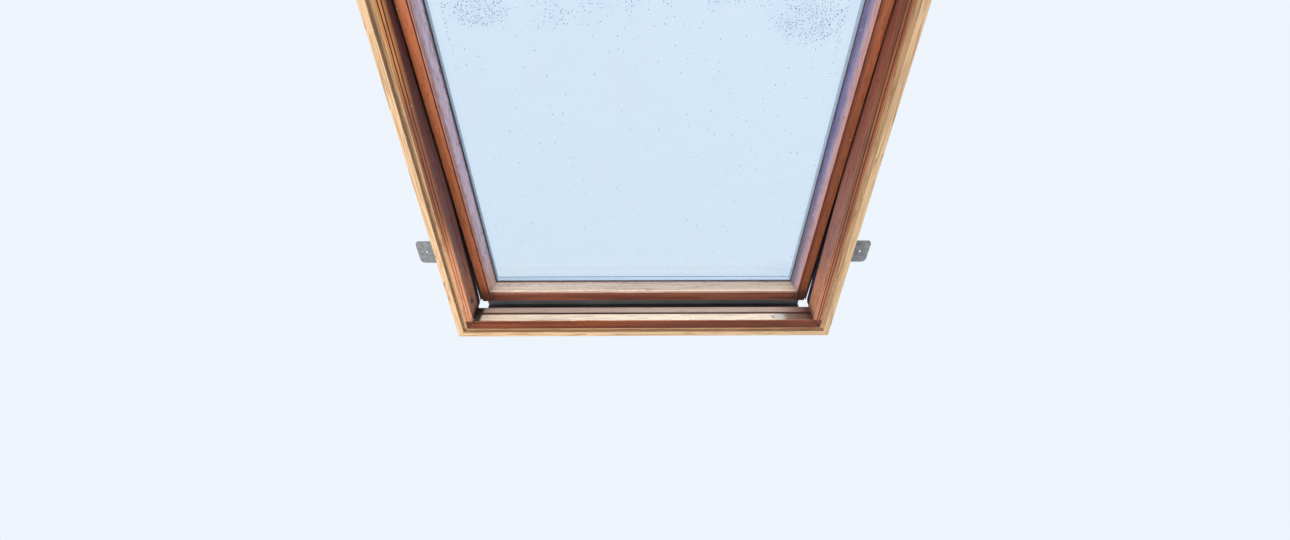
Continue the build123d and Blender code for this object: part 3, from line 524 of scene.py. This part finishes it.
def room_face(n, settings, at, slow, ragged):
    """Ochre and reeded, paler towards the sill, darker in places half way down and above."""
    paling = n.band(n.add(at.s, n.times(slow, 0.3)), *FACE_PALES)
    face = n.mix(n.times(paling, 0.85), settings.ochre, settings.paler)
    face = n.mix(n.band(slow, 0.45, 0.72, 0.0, 0.45), face, settings.stain)
    for share, tone in (
            (n.times(at.left, n.near(at.s, *LEFT_SHADED), 0.70), LEFT_SHADE),
            (n.times(at.right, n.near(at.s, *RIGHT_SHADED), 0.60), RIGHT_SHADE),
            (n.times(at.right, n.band(at.s, *FACE_DARKENS), 0.75), RIGHT_TOP)):
        face = n.mix(share, face, tone)

    # Share of the width: nothing at the inner edge, one where the stain stops
    on_side = n.above(at.past_side, at.past_end)
    width = n.add(n.times(on_side, SIDE_FACE - BOTTOM_FACE), BOTTOM_FACE)
    share = n.math("DIVIDE", at.across, width)
    reeds = n.most(*(n.near(share, *reed) for reed in REEDS))
    fine_lines = n.most(*(n.near(share, *line) for line in FINE_LINES))
    lines = n.most(reeds, n.times(fine_lines, n.blend(at.left, 0.85, 0.35)),
                   n.times(n.near(share, *EDGE_LINE), 0.6))

    on_stile = n.band(at.end, FRAME_END + 0.002, FRAME_END)
    rail = n.mix(n.band(slow, 0.44, 0.60, 0.0, 0.6), FRAME_RAIL_DARK, FRAME_RAIL_LIGHT)
    face = n.mix(on_stile, rail, face)
    streaked = n.blend(at.left, n.band(at.s, *RIGHT_STREAKS, 0.34, 0.66),
                       n.band(at.s, *LEFT_STREAKS, 0.10, 0.62))
    pale = n.times(n.rest(lines), n.band(share, 0.40, 0.48), on_stile, streaked)
    face = n.mix(pale, face, n.mix(at.left, RIGHT_STREAK, LEFT_STREAK))
    worn_low = n.rest(n.times(at.left, n.band(at.s, *LINES_WEAR, 0.0, 0.6)))
    inked = n.times(lines, worn_low, n.band(ragged, 0.2, 0.5, 0.7, 1.0))
    return n.mix(inked, face, settings.dark_stain)


def inner_face(n, settings, at, ragged):
    """Plum at the pivot, over a painted mauve sheen of the sky to painted daylight orange at the
    sill, with scuffs.
    """
    # Painted sky sheen half way down
    inner = n.mix(n.band(at.s, *INNER_MAUVE), settings.plum, settings.mauve)
    # Painted daylight through the opening gap towards the sill
    low = n.band(n.add(at.s, n.times(ragged, 0.06)), *INNER_DAYLIGHT)
    inner = n.mix(low, inner, INNER_DAYLIT)
    red = n.times(at.right, n.band(at.s, *INNER_REDDENS, 0.0, 0.65))
    inner = n.mix(red, inner, INNER_RED)
    shade = n.times(at.left, n.band(at.s, *INNER_SHADES, 0.05, 0.32))
    inner = n.mix(shade, inner, INNER_SHADE)
    scuffs = n.noise(n.mapping(n.place, scale=(300, 40, 120)), scale=1.0, detail=3.0,
                     roughness=0.6)
    return n.mix(n.band(scuffs, 0.52, 0.72, 0.0, 0.40), inner, settings.dark_stain)


def sill_face(n, settings, at, colour, slow, ragged):
    """The sill is pale from sun bleaching and painted sunlit below its seal groove and weathered
    above it, with painted shadow at its right end, painted shade in the groove and one chip.
    """
    wavy = n.add(at.depth, n.times(ragged, 0.005))
    sunny = n.mix(n.band(slow, 0.50, 0.66, 0.0, 0.45), settings.bleached_and_sunlit, SILL_STREAK)
    # Painted shadow of the right stile over the right end of the sunlit strip
    sunny = n.mix(n.times(n.band(at.x, *SILL_SHADOWED), 0.85), sunny, SILL_SHADOW)
    sunlit = n.times(at.sill, n.band(wavy, *SUNLIT_FROM), n.band(wavy, *SUNLIT_TO))
    colour = n.mix(sunlit, colour, sunny)
    beyond = n.band(at.depth, SEAL_GROOVE[1], SEAL_GROOVE[1] + 0.001)
    colour = n.mix(n.times(at.sill, beyond), colour, settings.weathered)
    # Painted shade in the seal groove
    colour = n.mix(n.times(at.groove, at.sill, 0.95), colour, GROOVE_SHADE)

    # A chip of pale paint, dark round its edge
    torn = n.noise(n.place, scale=210.0, detail=3.0, roughness=0.6)
    chip = n.add(n.oval(at.x, at.depth, CHIP_PLACE, CHIP_REACH), n.times(n.minus(torn, 0.5), 4.2))
    colour = n.mix(n.times(at.sill, n.near(chip, 0.95, 0.16, 0.12), 0.8), colour, settings.dirt)
    return n.mix(n.times(at.sill, n.below(chip, 0.80)), colour, CHIP_PAINT)


def frame_stain(n, settings, late, slow, ragged):
    """The frame's colour, its gathered dirt, its bare timber and where the painted crevice shade
    stays off.
    """
    at = FrameReach(n)
    toward_room = n.below(at.depth, FACE_SKIN)
    colour = n.mix(toward_room, inner_face(n, settings, at, ragged),
                   room_face(n, settings, at, slow, ragged))
    colour = sill_face(n, settings, at, colour, slow, ragged)

    # Dark joints at the four mitres of the room face
    slant = n.minus(n.times(at.past_side, MITRE.x), n.times(at.past_end, MITRE.y))
    joint = n.times(n.near(slant, *MITRE_LINE), toward_room, n.above(at.past_end, 0.0), 0.85)
    colour = n.mix(joint, colour, settings.dirt)

    # The stain stops at the rim, which is bare
    bare = n.most(n.above(at.side, FRAME_SIDE + SIDE_FACE),
                  n.below(at.s, -FRAME_END - BOTTOM_FACE), n.above(at.s, FRAME_END + TOP_FACE))
    colour = n.mix(bare, colour, n.mix(n.times(late, 0.5), settings.pine, PINE_LATE_WOOD))

    # Dirt in the lower corners, most on the left
    on_sill = n.times(n.band(at.side, *SILL_DIRT), at.sill)
    on_inner = n.times(n.near(at.side, *INNER_CORNER), n.band(at.s, *INNER_DIRT),
                       n.band(at.depth, 0.001, 0.010, 0.4, 1.0))
    on_face = n.times(n.band(at.across, 0.010, 0.001), n.band(at.s, *FACE_DIRT),
                      toward_room, 0.6, n.band(at.side, FRAME_SIDE - 0.012, FRAME_SIDE))
    gathered = n.times(n.most(on_sill, on_inner, on_face), n.rest(bare),
                       n.band(at.x, -0.2, 0.2, 0.45, 1.0))
    # Bare timber and the groove on the stiles stay free of the painted crevice shade
    kept_unshaded = n.most(bare, n.times(at.groove, n.band(at.s, *GROOVE_UNSHADED)))
    return at, colour, gathered, bare, kept_unshaded


def sash_face(n, settings, at, slow, on_stile, toward_room):
    """Orange, deeper on the right, with painted shade in its quirk, painted shadow beside it on
    the right and a painted highlight on its rounded edge.
    """
    on_rail = n.rest(on_stile)
    right = n.band(at.x, 0.0, -0.30)
    shallow = n.below(at.depth, SASH_FACE + 0.0011)
    colour = n.mix(n.band(slow, 0.40, 0.70, 0.0, 0.35), settings.stain, SASH_LIGHT)
    rail = n.mix(n.band(slow, 0.44, 0.62), SASH_RAIL_DARK, SASH_RAIL_LIGHT)
    for share, tone in (
            (n.times(right, n.band(at.s, *SASH_DEEPENS, 0.40, 0.80)), SASH_DEEP),
            (n.times(n.band(at.x, 0.0, 0.3), n.band(at.s, *SASH_BRIGHTENS), 0.8), SASH_BRIGHT),
            (n.times(on_rail, toward_room, 0.85), rail),
            # Painted shade in the quirks, painted shadow beside the quirk on the right, and a
            # painted highlight on the edge
            (n.times(n.near(at.side, *QUIRK_LINE), shallow, 0.92), QUIRK_SHADE_RED),
            (n.times(n.near(at.side, *QUIRK_SHADOW), shallow, right, 0.55), QUIRK_SHADOW_RED),
            (n.times(n.near(at.s, *RAIL_LINE), toward_room, on_rail, 0.8), QUIRK_SHADE_RED),
            (n.times(n.band(at.side, *HIGHLIGHT_EDGE), on_stile, shallow, 0.85), settings.edge_highlight)):
        colour = n.mix(share, colour, tone)
    return colour


def sky_sheen_bevel(n, settings, at, wavy, mottle, ragged):
    """Grey from wear with a painted sky reflection, warm at its foot on the left, blue from the
    painted sky reflection on the right, dark along the glass.
    """
    worn_sky_sheen = n.mix(n.band(wavy, 0.05, 0.40), settings.edge_highlight, settings.worn_sky_sheen)
    # Painted sky reflection: navy by the glass, lilac further out, on the right
    navy = n.mix(n.band(at.s, *BEVEL_BLUES), NAVY_LOW, NAVY_HIGH)
    blue = n.mix(n.band(wavy, 0.05, 0.45), settings.edge_highlight, BEVEL_LILAC)
    blue = n.mix(n.band(wavy, 0.15, 0.85), blue, navy)
    worn_sky_sheen = n.mix(n.band(at.x, 0.0, -0.2, 0.0, 0.92), worn_sky_sheen, blue)
    foot = n.band(n.add(at.s, n.times(ragged, 0.16)), *BEVEL_WARMS)
    worn_sky_sheen = n.mix(n.times(n.band(at.x, *LEFT_HALF), foot, 0.75), worn_sky_sheen, BEVEL_WARM)
    worn_sky_sheen = n.mix(n.band(mottle, 0.52, 0.70, 0.0, 0.35), worn_sky_sheen, BEVEL_MOTTLE)
    rim = n.band(n.add(wavy, n.times(mottle, 0.3)), 0.95, 1.15)
    return n.mix(n.times(rim, n.band(at.x, *LEFT_HALF, 0.35, 0.75)), worn_sky_sheen, BEVEL_RIM)


def lower_bevel(n, share, wavy, mottle):
    """Pale from sun bleaching and painted sunlit, cream along the face, peppered and darker
    towards the glass.
    """
    sunny = n.mix(n.band(wavy, 0.02, 0.25), BEVEL_CREAM, BEVEL_OAT)
    sunny = n.mix(n.band(wavy, 0.2, 0.9, 0.0, 0.35), sunny, BEVEL_GREY)
    pepper = n.band(n.add(mottle, n.times(share, 0.10)), 0.60, 0.70, 0.0, 0.55)
    sunny = n.mix(pepper, sunny, BEVEL_PEPPER)
    return n.mix(n.band(share, 0.93, 0.99, 0.0, 0.8), sunny, BEVEL_LINE)


def sash_stain(n, settings, slow, ragged):
    """The sash's colour, its gathered dirt, its bare timber (none) and where the painted crevice
    shade stays off.
    """
    at = Reach(n, True)
    toward_room = n.band(at.faces_out, -0.80, -0.95)
    on_stile = n.above(at.side, STILE_EDGE - 0.0002)
    colour = sash_face(n, settings, at, slow, on_stile, toward_room)

    # Across a bevel: nothing at the face, one at the glass
    bevel = n.times(n.band(at.faces_out, -0.85, -0.72), n.band(at.faces_out, -0.30, -0.50),
                    n.below(at.side, STILE_EDGE + 0.0006))
    share = n.math("DIVIDE", n.minus(at.depth, SASH_FACE), BEVEL_DEPTH)
    wavy = n.add(share, n.times(n.minus(ragged, 0.5), 0.35))
    mottle = n.noise(n.place, scale=320.0, detail=4.0, roughness=0.7)
    colour = n.mix(bevel, colour, sky_sheen_bevel(n, settings, at, wavy, mottle, ragged))
    # The lower bevel faces up the slope and is painted sunlit
    colour = n.mix(n.times(bevel, n.band(at.faces_up, 0.3, 0.7)), colour,
                   lower_bevel(n, share, wavy, mottle))

    # Dark joints where the rails meet the stiles
    joint = n.times(n.band(at.side, STILE_EDGE - 0.0011, STILE_EDGE - 0.0005),
                    n.rest(on_stile), toward_room, 0.8)
    colour = n.mix(joint, colour, settings.dirt)
    across, along = SASH_DIRT
    gathered = n.times(n.band(at.side, *across), n.band(at.s, *along), 0.7)
    return at, colour, gathered, 0.0, bevel


def timber(name, settings, along, on_sash, seed):
    """Old stained pine with wear, sun bleaching, painted sky sheen and painted sunlight beside
    the glass, dirt in its corners and painted shade in its crevices.
    """
    n = Nodes(name)
    late, fine, slow = grain(n, settings, along, seed)
    ragged = n.noise(n.mapping(n.place, location=(seed, 0, 0)), scale=75.0, detail=4.0,
                     roughness=0.6)
    if on_sash:
        at, colour, gathered, bare, kept_unshaded = sash_stain(n, settings, slow, ragged)
    else:
        at, colour, gathered, bare, kept_unshaded = frame_stain(n, settings, late, slow, ragged)

    # Grain darkens the stain by a share of its own colour
    grained = n.mix(1.0, colour, GRAIN_SHARE, "MULTIPLY")
    colour = n.mix(n.times(late, 0.55), colour, grained)
    colour = n.mix(n.band(fine, 0.48, 0.75, 0.0, 0.45), colour, grained)

    smudge = n.noise(n.place, scale=42.0, detail=5.0, roughness=0.65)
    dirt = n.times(gathered, n.band(smudge, 0.24, 0.44), 0.95)
    colour = n.mix(dirt, colour, settings.dirt)
    # Painted shade: ambient occlusion darkens crevices and the gaps between parts towards the
    # dirt tone
    crevice_occlusion = n.node("ShaderNodeAmbientOcclusion", samples=6)
    crevice_occlusion.inputs["Distance"].default_value = 0.014
    crevice_shade = n.times(n.band(crevice_occlusion.outputs["AO"], 0.70, 0.12, 0.0, 0.68), n.rest(kept_unshaded))
    colour = n.mix(crevice_shade, colour, settings.dirt)

    # Timber under the cladding has gone grey
    outward = n.most(n.band(at.faces_out, 0.3, 0.7), n.band(at.out, *CLAD_TIMBER))
    colour = n.mix(n.times(outward, 0.9), colour, GREYED)

    # Small flecks of pale paint
    distance, _ = n.cells(n.mapping(n.place, location=(0.3, 0.1, seed)), scale=46.0)
    colour = n.mix(n.times(n.below(distance, 0.032), 0.75), colour, FLECK)

    roughness = n.band(slow, 0.3, 0.7, settings.roughness - 0.05, settings.roughness + 0.10)
    roughness = n.most(roughness, n.times(bare, 0.75))
    height = n.add(n.times(late, -0.5), n.times(fine, 0.4))
    normal = n.bump(height, strength=0.35, distance=0.0003, normal=n.rounded(settings.edge))
    n.surface(colour, roughness, normal, Specular_IOR_Level=0.35, Coat_Weight=0.06,
              Coat_Roughness=0.28)
    return n.material


class ROOFWINDOW_OT_timber(bpy.types.Operator):
    """Finish the timber of the frame, the sash and the ventilation flap."""
    bl_idname = "roof_window.timber"
    bl_label = "Finish timber"

    def execute(self, context):
        settings = context.scene.roof_window_timber
        for names, finish, along, on_sash, seed in (
                (FRAME_STILES, "frame_stile_pine", "Y", False, 1.3),
                (FRAME_RAILS, "frame_rail_pine", "X", False, 4.1),
                (SASH_STILES, "sash_stile_pine", "Y", True, 7.7),
                (SASH_RAILS, "sash_rail_pine", "X", True, 9.2),
                (("vent_flap",), "flap_pine", "X", True, 12.4)):
            paint(names, timber(finish, settings, along, on_sash, seed))
        return {"FINISHED"}


def grimy(n, settings):
    """Colour and clearness of the outer pane: a film, and mould specks near the pivot line."""
    x, s, _ = n.axes(n.from_pivot(True))
    side = n.math("ABSOLUTE", x)
    clouds = n.noise(n.place, scale=16.0, detail=4.0, roughness=0.6)
    patch = n.band(clouds, 0.42, 0.62)

    # Share of the cells that have a speck: a belt, two spots, the top and a thread on each side
    belt = n.times(n.band(s, -0.115, -0.035), n.band(s, 0.30, 0.10),
                   n.band(side, 0.02, 0.22, 0.25, 0.6))
    spots = n.most(*(n.band(n.oval(x, s, place, reach), 1.0, 0.15)
                     for place, reach in SPECK_SPOTS))
    top = n.times(n.band(s, 0.50, 0.64), 0.7)
    where = n.most(n.times(n.most(belt, top), patch),
                   n.times(spots, n.band(clouds, 0.3, 0.5)))
    bloom = n.band(n.noise(n.place, scale=70.0, detail=3.0), 0.36, 0.62)
    haze = n.times(where, patch, bloom, 0.34)
    thread = n.times(n.near(side, 0.357, 0.0015, 0.002), n.band(s, -0.27, -0.10), 0.8)
    where = n.times(n.most(where, thread), n.band(side, 0.362, 0.356))
    where = n.add(n.times(where, 0.95), 0.012)
    distance, own = n.cells(n.place, scale=1.0 / settings.speck_size)
    chance, size, _ = n.axes(own)
    speck = n.times(n.below(chance, where),
                    n.below(distance, n.add(n.times(size, 0.20), 0.12)))

    colour = n.mix(n.band(clouds, 0.35, 0.70, 0.0, 0.30), settings.tint,
                   shaded(settings.tint, 0.955))
    wiped = n.mapping(n.place, rotation=(0, 0, 0.25), scale=(26, 3, 3))
    wiped = n.noise(wiped, scale=1.0, detail=4.0, roughness=0.6)
    colour = n.mix(n.band(wiped, 0.50, 0.72, 0.0, 0.5), colour, WIPED)
    colour = n.mix(haze, colour, HAZE)
    colour = n.mix(speck, colour, settings.mould)
    return colour, n.rest(n.times(speck, 0.7))


def pane_glass(name, settings, outer):
    """One clear pane, faintly tinted, the outer one grimy."""
    n = Nodes(name)
    colour, clear = grimy(n, settings) if outer else (settings.tint, 1.0)
    shader = n.surface(colour, 0.02, IOR=1.45, Transmission_Weight=clear)

    # Lamps reach what is behind the pane
    path = n.node("ShaderNodeLightPath")
    passing = n.node("ShaderNodeBsdfTransparent")
    n.feed(passing.inputs["Color"], LIGHT_THROUGH)
    choose = n.node("ShaderNodeMixShader")
    n.link(path.outputs["Is Shadow Ray"], choose.inputs["Fac"])
    n.link(shader.outputs[0], choose.inputs[1])
    n.link(passing.outputs[0], choose.inputs[2])
    n.link(choose.outputs[0], n.output.inputs["Surface"])
    return n.material


class ROOFWINDOW_OT_glass(bpy.types.Operator):
    """Finish the two panes and the spacer between them."""
    bl_idname = "roof_window.glass"
    bl_label = "Finish glass"

    def execute(self, context):
        settings = context.scene.roof_window_glass
        inner, outer = PANES
        paint((inner,), pane_glass("inner_glass", settings, False))
        paint((outer,), pane_glass("outer_glass", settings, True))

        n = Nodes("spacer_metal")
        # Pale blue that stands partly for the mirrored sky: painted reflection
        streaks = n.noise(n.place, scale=150.0, detail=2.0)
        n.surface(n.ramp(streaks, zip((0.3, 0.7), SPACER_SKY_TONES)),
                  n.band(streaks, 0.3, 0.7, 0.60, 0.70), Metallic=0.1)
        paint(("spacer_bar",), n.material)
        return {"FINISHED"}


class ROOFWINDOW_OT_metal(bpy.types.Operator):
    """Finish the cladding, the fittings, the brackets and the control bar."""
    bl_idname = "roof_window.metal"
    bl_label = "Finish metal"

    def execute(self, context):
        settings = context.scene.roof_window_metal

        n = Nodes("cladding_paint")
        dust = n.noise(n.place, scale=5.0, detail=6.0, roughness=0.65)
        peel = n.noise(n.place, scale=900.0, detail=1.0)
        runs = n.noise(n.mapping(n.place, scale=(60, 2.5, 60)), scale=1.0, detail=3.0)
        dusty = n.mix(n.band(dust, 0.42, 0.75, 0.0, 0.30), settings.cladding, DUST)
        dusty = n.mix(n.band(runs, 0.58, 0.75, 0.0, 0.20), dusty, RAIN_RUN)
        normal = n.bump(peel, strength=0.08, distance=0.0002, normal=n.rounded(radius=0.0006))
        n.surface(dusty, n.band(dust, 0.3, 0.7, 0.52, 0.66), normal, Specular_IOR_Level=0.25)
        paint(CLADDING, n.material)

        n = Nodes("zinc_plate")
        cloud = n.noise(n.place, scale=60.0, detail=4.0, roughness=0.6)
        tone = n.ramp(cloud, ((0.3, shaded(settings.zinc, 0.82)), (0.7, settings.zinc)))
        n.surface(tone, n.band(cloud, 0.3, 0.7, 0.40, 0.55), n.rounded(radius=0.0005),
                  Metallic=1.0)
        paint(FITTINGS, n.material)

        n = Nodes("galvanised_steel")
        _, own = n.cells(n.place, scale=160.0)
        tone = n.ramp(n.axes(own)[0], zip((0.0, 1.0), SPANGLE_TONES))
        n.surface(tone, 0.60, n.rounded(radius=0.0005), Metallic=0.55)
        paint(BRACKETS, n.material)

        n = Nodes("anodised_bar")
        lines = n.noise(n.mapping(n.place, scale=(3, 700, 700)), scale=1.0, detail=2.0)
        tone = n.ramp(lines, ((0.3, shaded(settings.aluminium, 0.92)),
                              (0.7, settings.aluminium)))
        normal = n.bump(lines, strength=0.05, distance=0.0001)
        n.surface(tone, n.band(lines, 0.3, 0.7, 0.30, 0.40), normal, Metallic=1.0)
        paint(("control_bar",), n.material)
        return {"FINISHED"}


class ROOFWINDOW_OT_soft(bpy.types.Operator):
    """Finish the rubber seals, the plastic parts and the foam filters."""
    bl_idname = "roof_window.soft"
    bl_label = "Finish rubber and plastic"

    def execute(self, context):
        settings = context.scene.roof_window_soft

        # The bloom on the rubber is strongest by the sill; its blue is a painted sky reflection
        n = Nodes("seal_rubber")
        bloom = n.noise(n.place, scale=45.0, detail=5.0, roughness=0.6)
        by_sill = n.band(n.axes(n.place)[1], *RUBBER_BLOOMS, 0.08, 0.55)
        tone = n.mix(n.times(n.band(bloom, 0.35, 0.70), by_sill), settings.rubber, RUBBER_BLOOM_SKY)
        n.surface(tone, n.band(bloom, 0.3, 0.7, 0.45, 0.65), n.rounded(radius=0.0006))
        paint(RUBBERS, n.material)

        n = Nodes("moulded_plastic")
        pores = n.noise(n.place, scale=700.0, detail=2.0)
        tone = n.mix(n.band(pores, 0.4, 0.7, 0.0, 0.25), settings.plastic, PLASTIC_PORE)
        normal = n.bump(pores, strength=0.1, distance=0.0001, normal=n.rounded(radius=0.0005))
        n.surface(tone, 0.48, normal)
        paint(PLASTICS, n.material)

        n = Nodes("filter_foam")
        holes, _ = n.cells(n.place, scale=900.0)
        tone = n.mix(n.band(holes, 0.2, 0.6), FOAM_HOLE, settings.filter)
        n.surface(tone, 0.95, n.bump(holes, strength=0.6, distance=0.0006))
        paint(("air_filters",), n.material)
        return {"FINISHED"}


def make_floor(scene, settings):
    mesh = bpy.data.meshes.new("floor")
    shape = bmesh.new()
    bmesh.ops.create_grid(shape, x_segments=1, y_segments=1, size=9.0)
    bmesh.ops.translate(shape, verts=shape.verts, vec=(0, 0, CAD_BOX[0].z - settings.floor_drop))
    shape.to_mesh(mesh)
    shape.free()
    floor = bpy.data.objects.new("floor", mesh)
    scene.collection.objects.link(floor)
    n = Nodes("floor_paint")
    n.surface(settings.floor, 0.9)
    mesh.materials.append(n.material)


def make_world(scene, settings):
    """Soft light from all sides, and a plain background for what the camera and glass see."""
    world = bpy.data.worlds.new("studio")
    scene.world = world
    world.use_nodes = True
    tree = world.node_tree
    tree.nodes.clear()
    output = tree.nodes.new("ShaderNodeOutputWorld")
    light = tree.nodes.new("ShaderNodeBackground")
    light.inputs["Color"].default_value = (*STUDIO_LIGHT, 1.0)
    light.inputs["Strength"].default_value = 0.62
    shown = tree.nodes.new("ShaderNodeBackground")
    shown.inputs["Color"].default_value = (*settings.background, 1.0)
    shown.inputs["Strength"].default_value = 1.0
    path = tree.nodes.new("ShaderNodeLightPath")
    seen = path.outputs["Is Camera Ray"]
    for ray in ("Is Transmission Ray", "Is Glossy Ray"):
        either = tree.nodes.new("ShaderNodeMath")
        either.operation = "MAXIMUM"
        tree.links.new(seen, either.inputs[0])
        tree.links.new(path.outputs[ray], either.inputs[1])
        seen = either.outputs[0]
    choose = tree.nodes.new("ShaderNodeMixShader")
    tree.links.new(seen, choose.inputs["Fac"])
    tree.links.new(light.outputs[0], choose.inputs[1])
    tree.links.new(shown.outputs[0], choose.inputs[2])
    tree.links.new(choose.outputs[0], output.inputs["Surface"])


def area_light(scene, name, place, target, size, power, colour):
    """A round soft lamp that the camera and light through the panes don't see."""
    lamp = bpy.data.lights.new(name, "AREA")
    lamp.shape = "DISK"
    lamp.size = size
    lamp.energy = power
    lamp.color = colour
    made = bpy.data.objects.new(name, lamp)
    made.location = place
    made.rotation_euler = (Vector(target) - Vector(place)).to_track_quat("-Z", "Y").to_euler()
    made.visible_camera = False
    made.visible_transmission = False
    scene.collection.objects.link(made)
    return made


def make_lamps(scene):
    sky = area_light(scene, "sky_light", place=(-0.55, 2.7, 2.0), target=(0, -0.4, 0),
                     size=2.2, power=170, colour=(1.0, 0.97, 0.92))
    room = area_light(scene, "room_light", place=(1.3, -0.7, -1.8), target=(0, -0.2, 0),
                      size=2.0, power=27, colour=(1.0, 0.96, 0.92))
    room.data.spread = math.radians(115)
    room.visible_glossy = False

    # The panes don't mirror the upper lamp as a hard white disc
    panes = bpy.data.collections.new("panes")
    sky.light_linking.receiver_collection = panes
    for name in PANES:
        panes.objects.link(NODES[name])
    for member in panes.collection_objects:
        member.light_linking.link_state = "EXCLUDE"


def make_camera(scene, settings):
    """The camera below the window, looking steeply up past its lower end."""
    camera = bpy.data.cameras.new("camera")
    camera.sensor_width = 36.0
    camera.lens = settings.focal_length
    camera.clip_start = 0.01
    camera.clip_end = 60.0
    holder = bpy.data.objects.new("camera", camera)
    pitch = settings.camera_pitch
    look = Vector((0, -math.cos(pitch), math.sin(pitch)))
    up = Vector((0, math.sin(pitch), math.cos(pitch)))
    facing = Matrix((look.cross(up), up, -look)).transposed().to_4x4()
    holder.matrix_world = (Matrix.Translation(settings.camera_place)
                           @ Matrix.Rotation(settings.camera_yaw, 4, "Z") @ facing
                           @ Matrix.Rotation(settings.camera_roll, 4, "Z"))
    scene.collection.objects.link(holder)
    scene.camera = holder


class ROOFWINDOW_OT_stage(bpy.types.Operator):
    """Make the pale floor, the background, the soft lamps and the camera."""
    bl_idname = "roof_window.stage"
    bl_label = "Set the stage"

    def execute(self, context):
        scene = context.scene
        settings = scene.roof_window_stage
        make_floor(scene, settings)
        make_world(scene, settings)
        make_lamps(scene)
        make_camera(scene, settings)
        scene.view_settings.view_transform = "Standard"
        return {"FINISHED"}


class ROOFWINDOW_PT_panel(bpy.types.Panel):
    """Lists the finishes of the roof window."""
    bl_idname = "ROOFWINDOW_PT_panel"
    bl_label = "Roof Window"
    bl_space_type = "VIEW_3D"
    bl_region_type = "UI"
    bl_category = "Roof Window"

    def draw(self, context):
        for operator, settings in STEPS:
            box = self.layout.box()
            box.operator(operator.bl_idname)
            group = getattr(context.scene, settings)
            for name in group.bl_rna.properties.keys():
                if name not in {"rna_type", "name"}:
                    box.prop(group, name)


GROUPS = {
    "roof_window_timber": TimberSettings,
    "roof_window_glass": GlassSettings,
    "roof_window_metal": MetalSettings,
    "roof_window_soft": SoftSettings,
    "roof_window_stage": StageSettings,
}
STEPS = (
    (ROOFWINDOW_OT_timber, "roof_window_timber"),
    (ROOFWINDOW_OT_glass, "roof_window_glass"),
    (ROOFWINDOW_OT_metal, "roof_window_metal"),
    (ROOFWINDOW_OT_soft, "roof_window_soft"),
    (ROOFWINDOW_OT_stage, "roof_window_stage"),
)


def register():
    for name, group in GROUPS.items():
        bpy.utils.register_class(group)
        setattr(bpy.types.Scene, name, bpy.props.PointerProperty(type=group))
    for operator, _ in STEPS:
        bpy.utils.register_class(operator)
    bpy.utils.register_class(ROOFWINDOW_PT_panel)


def unregister():
    bpy.utils.unregister_class(ROOFWINDOW_PT_panel)
    for operator, _ in reversed(STEPS):
        bpy.utils.unregister_class(operator)
    for name, group in reversed(GROUPS.items()):
        delattr(bpy.types.Scene, name)
        bpy.utils.unregister_class(group)


def main():
    register()
    for operator, _ in STEPS:
        family, action = operator.bl_idname.split(".")
        getattr(getattr(bpy.ops, family), action)()


if __name__ == "__main__":
    main()
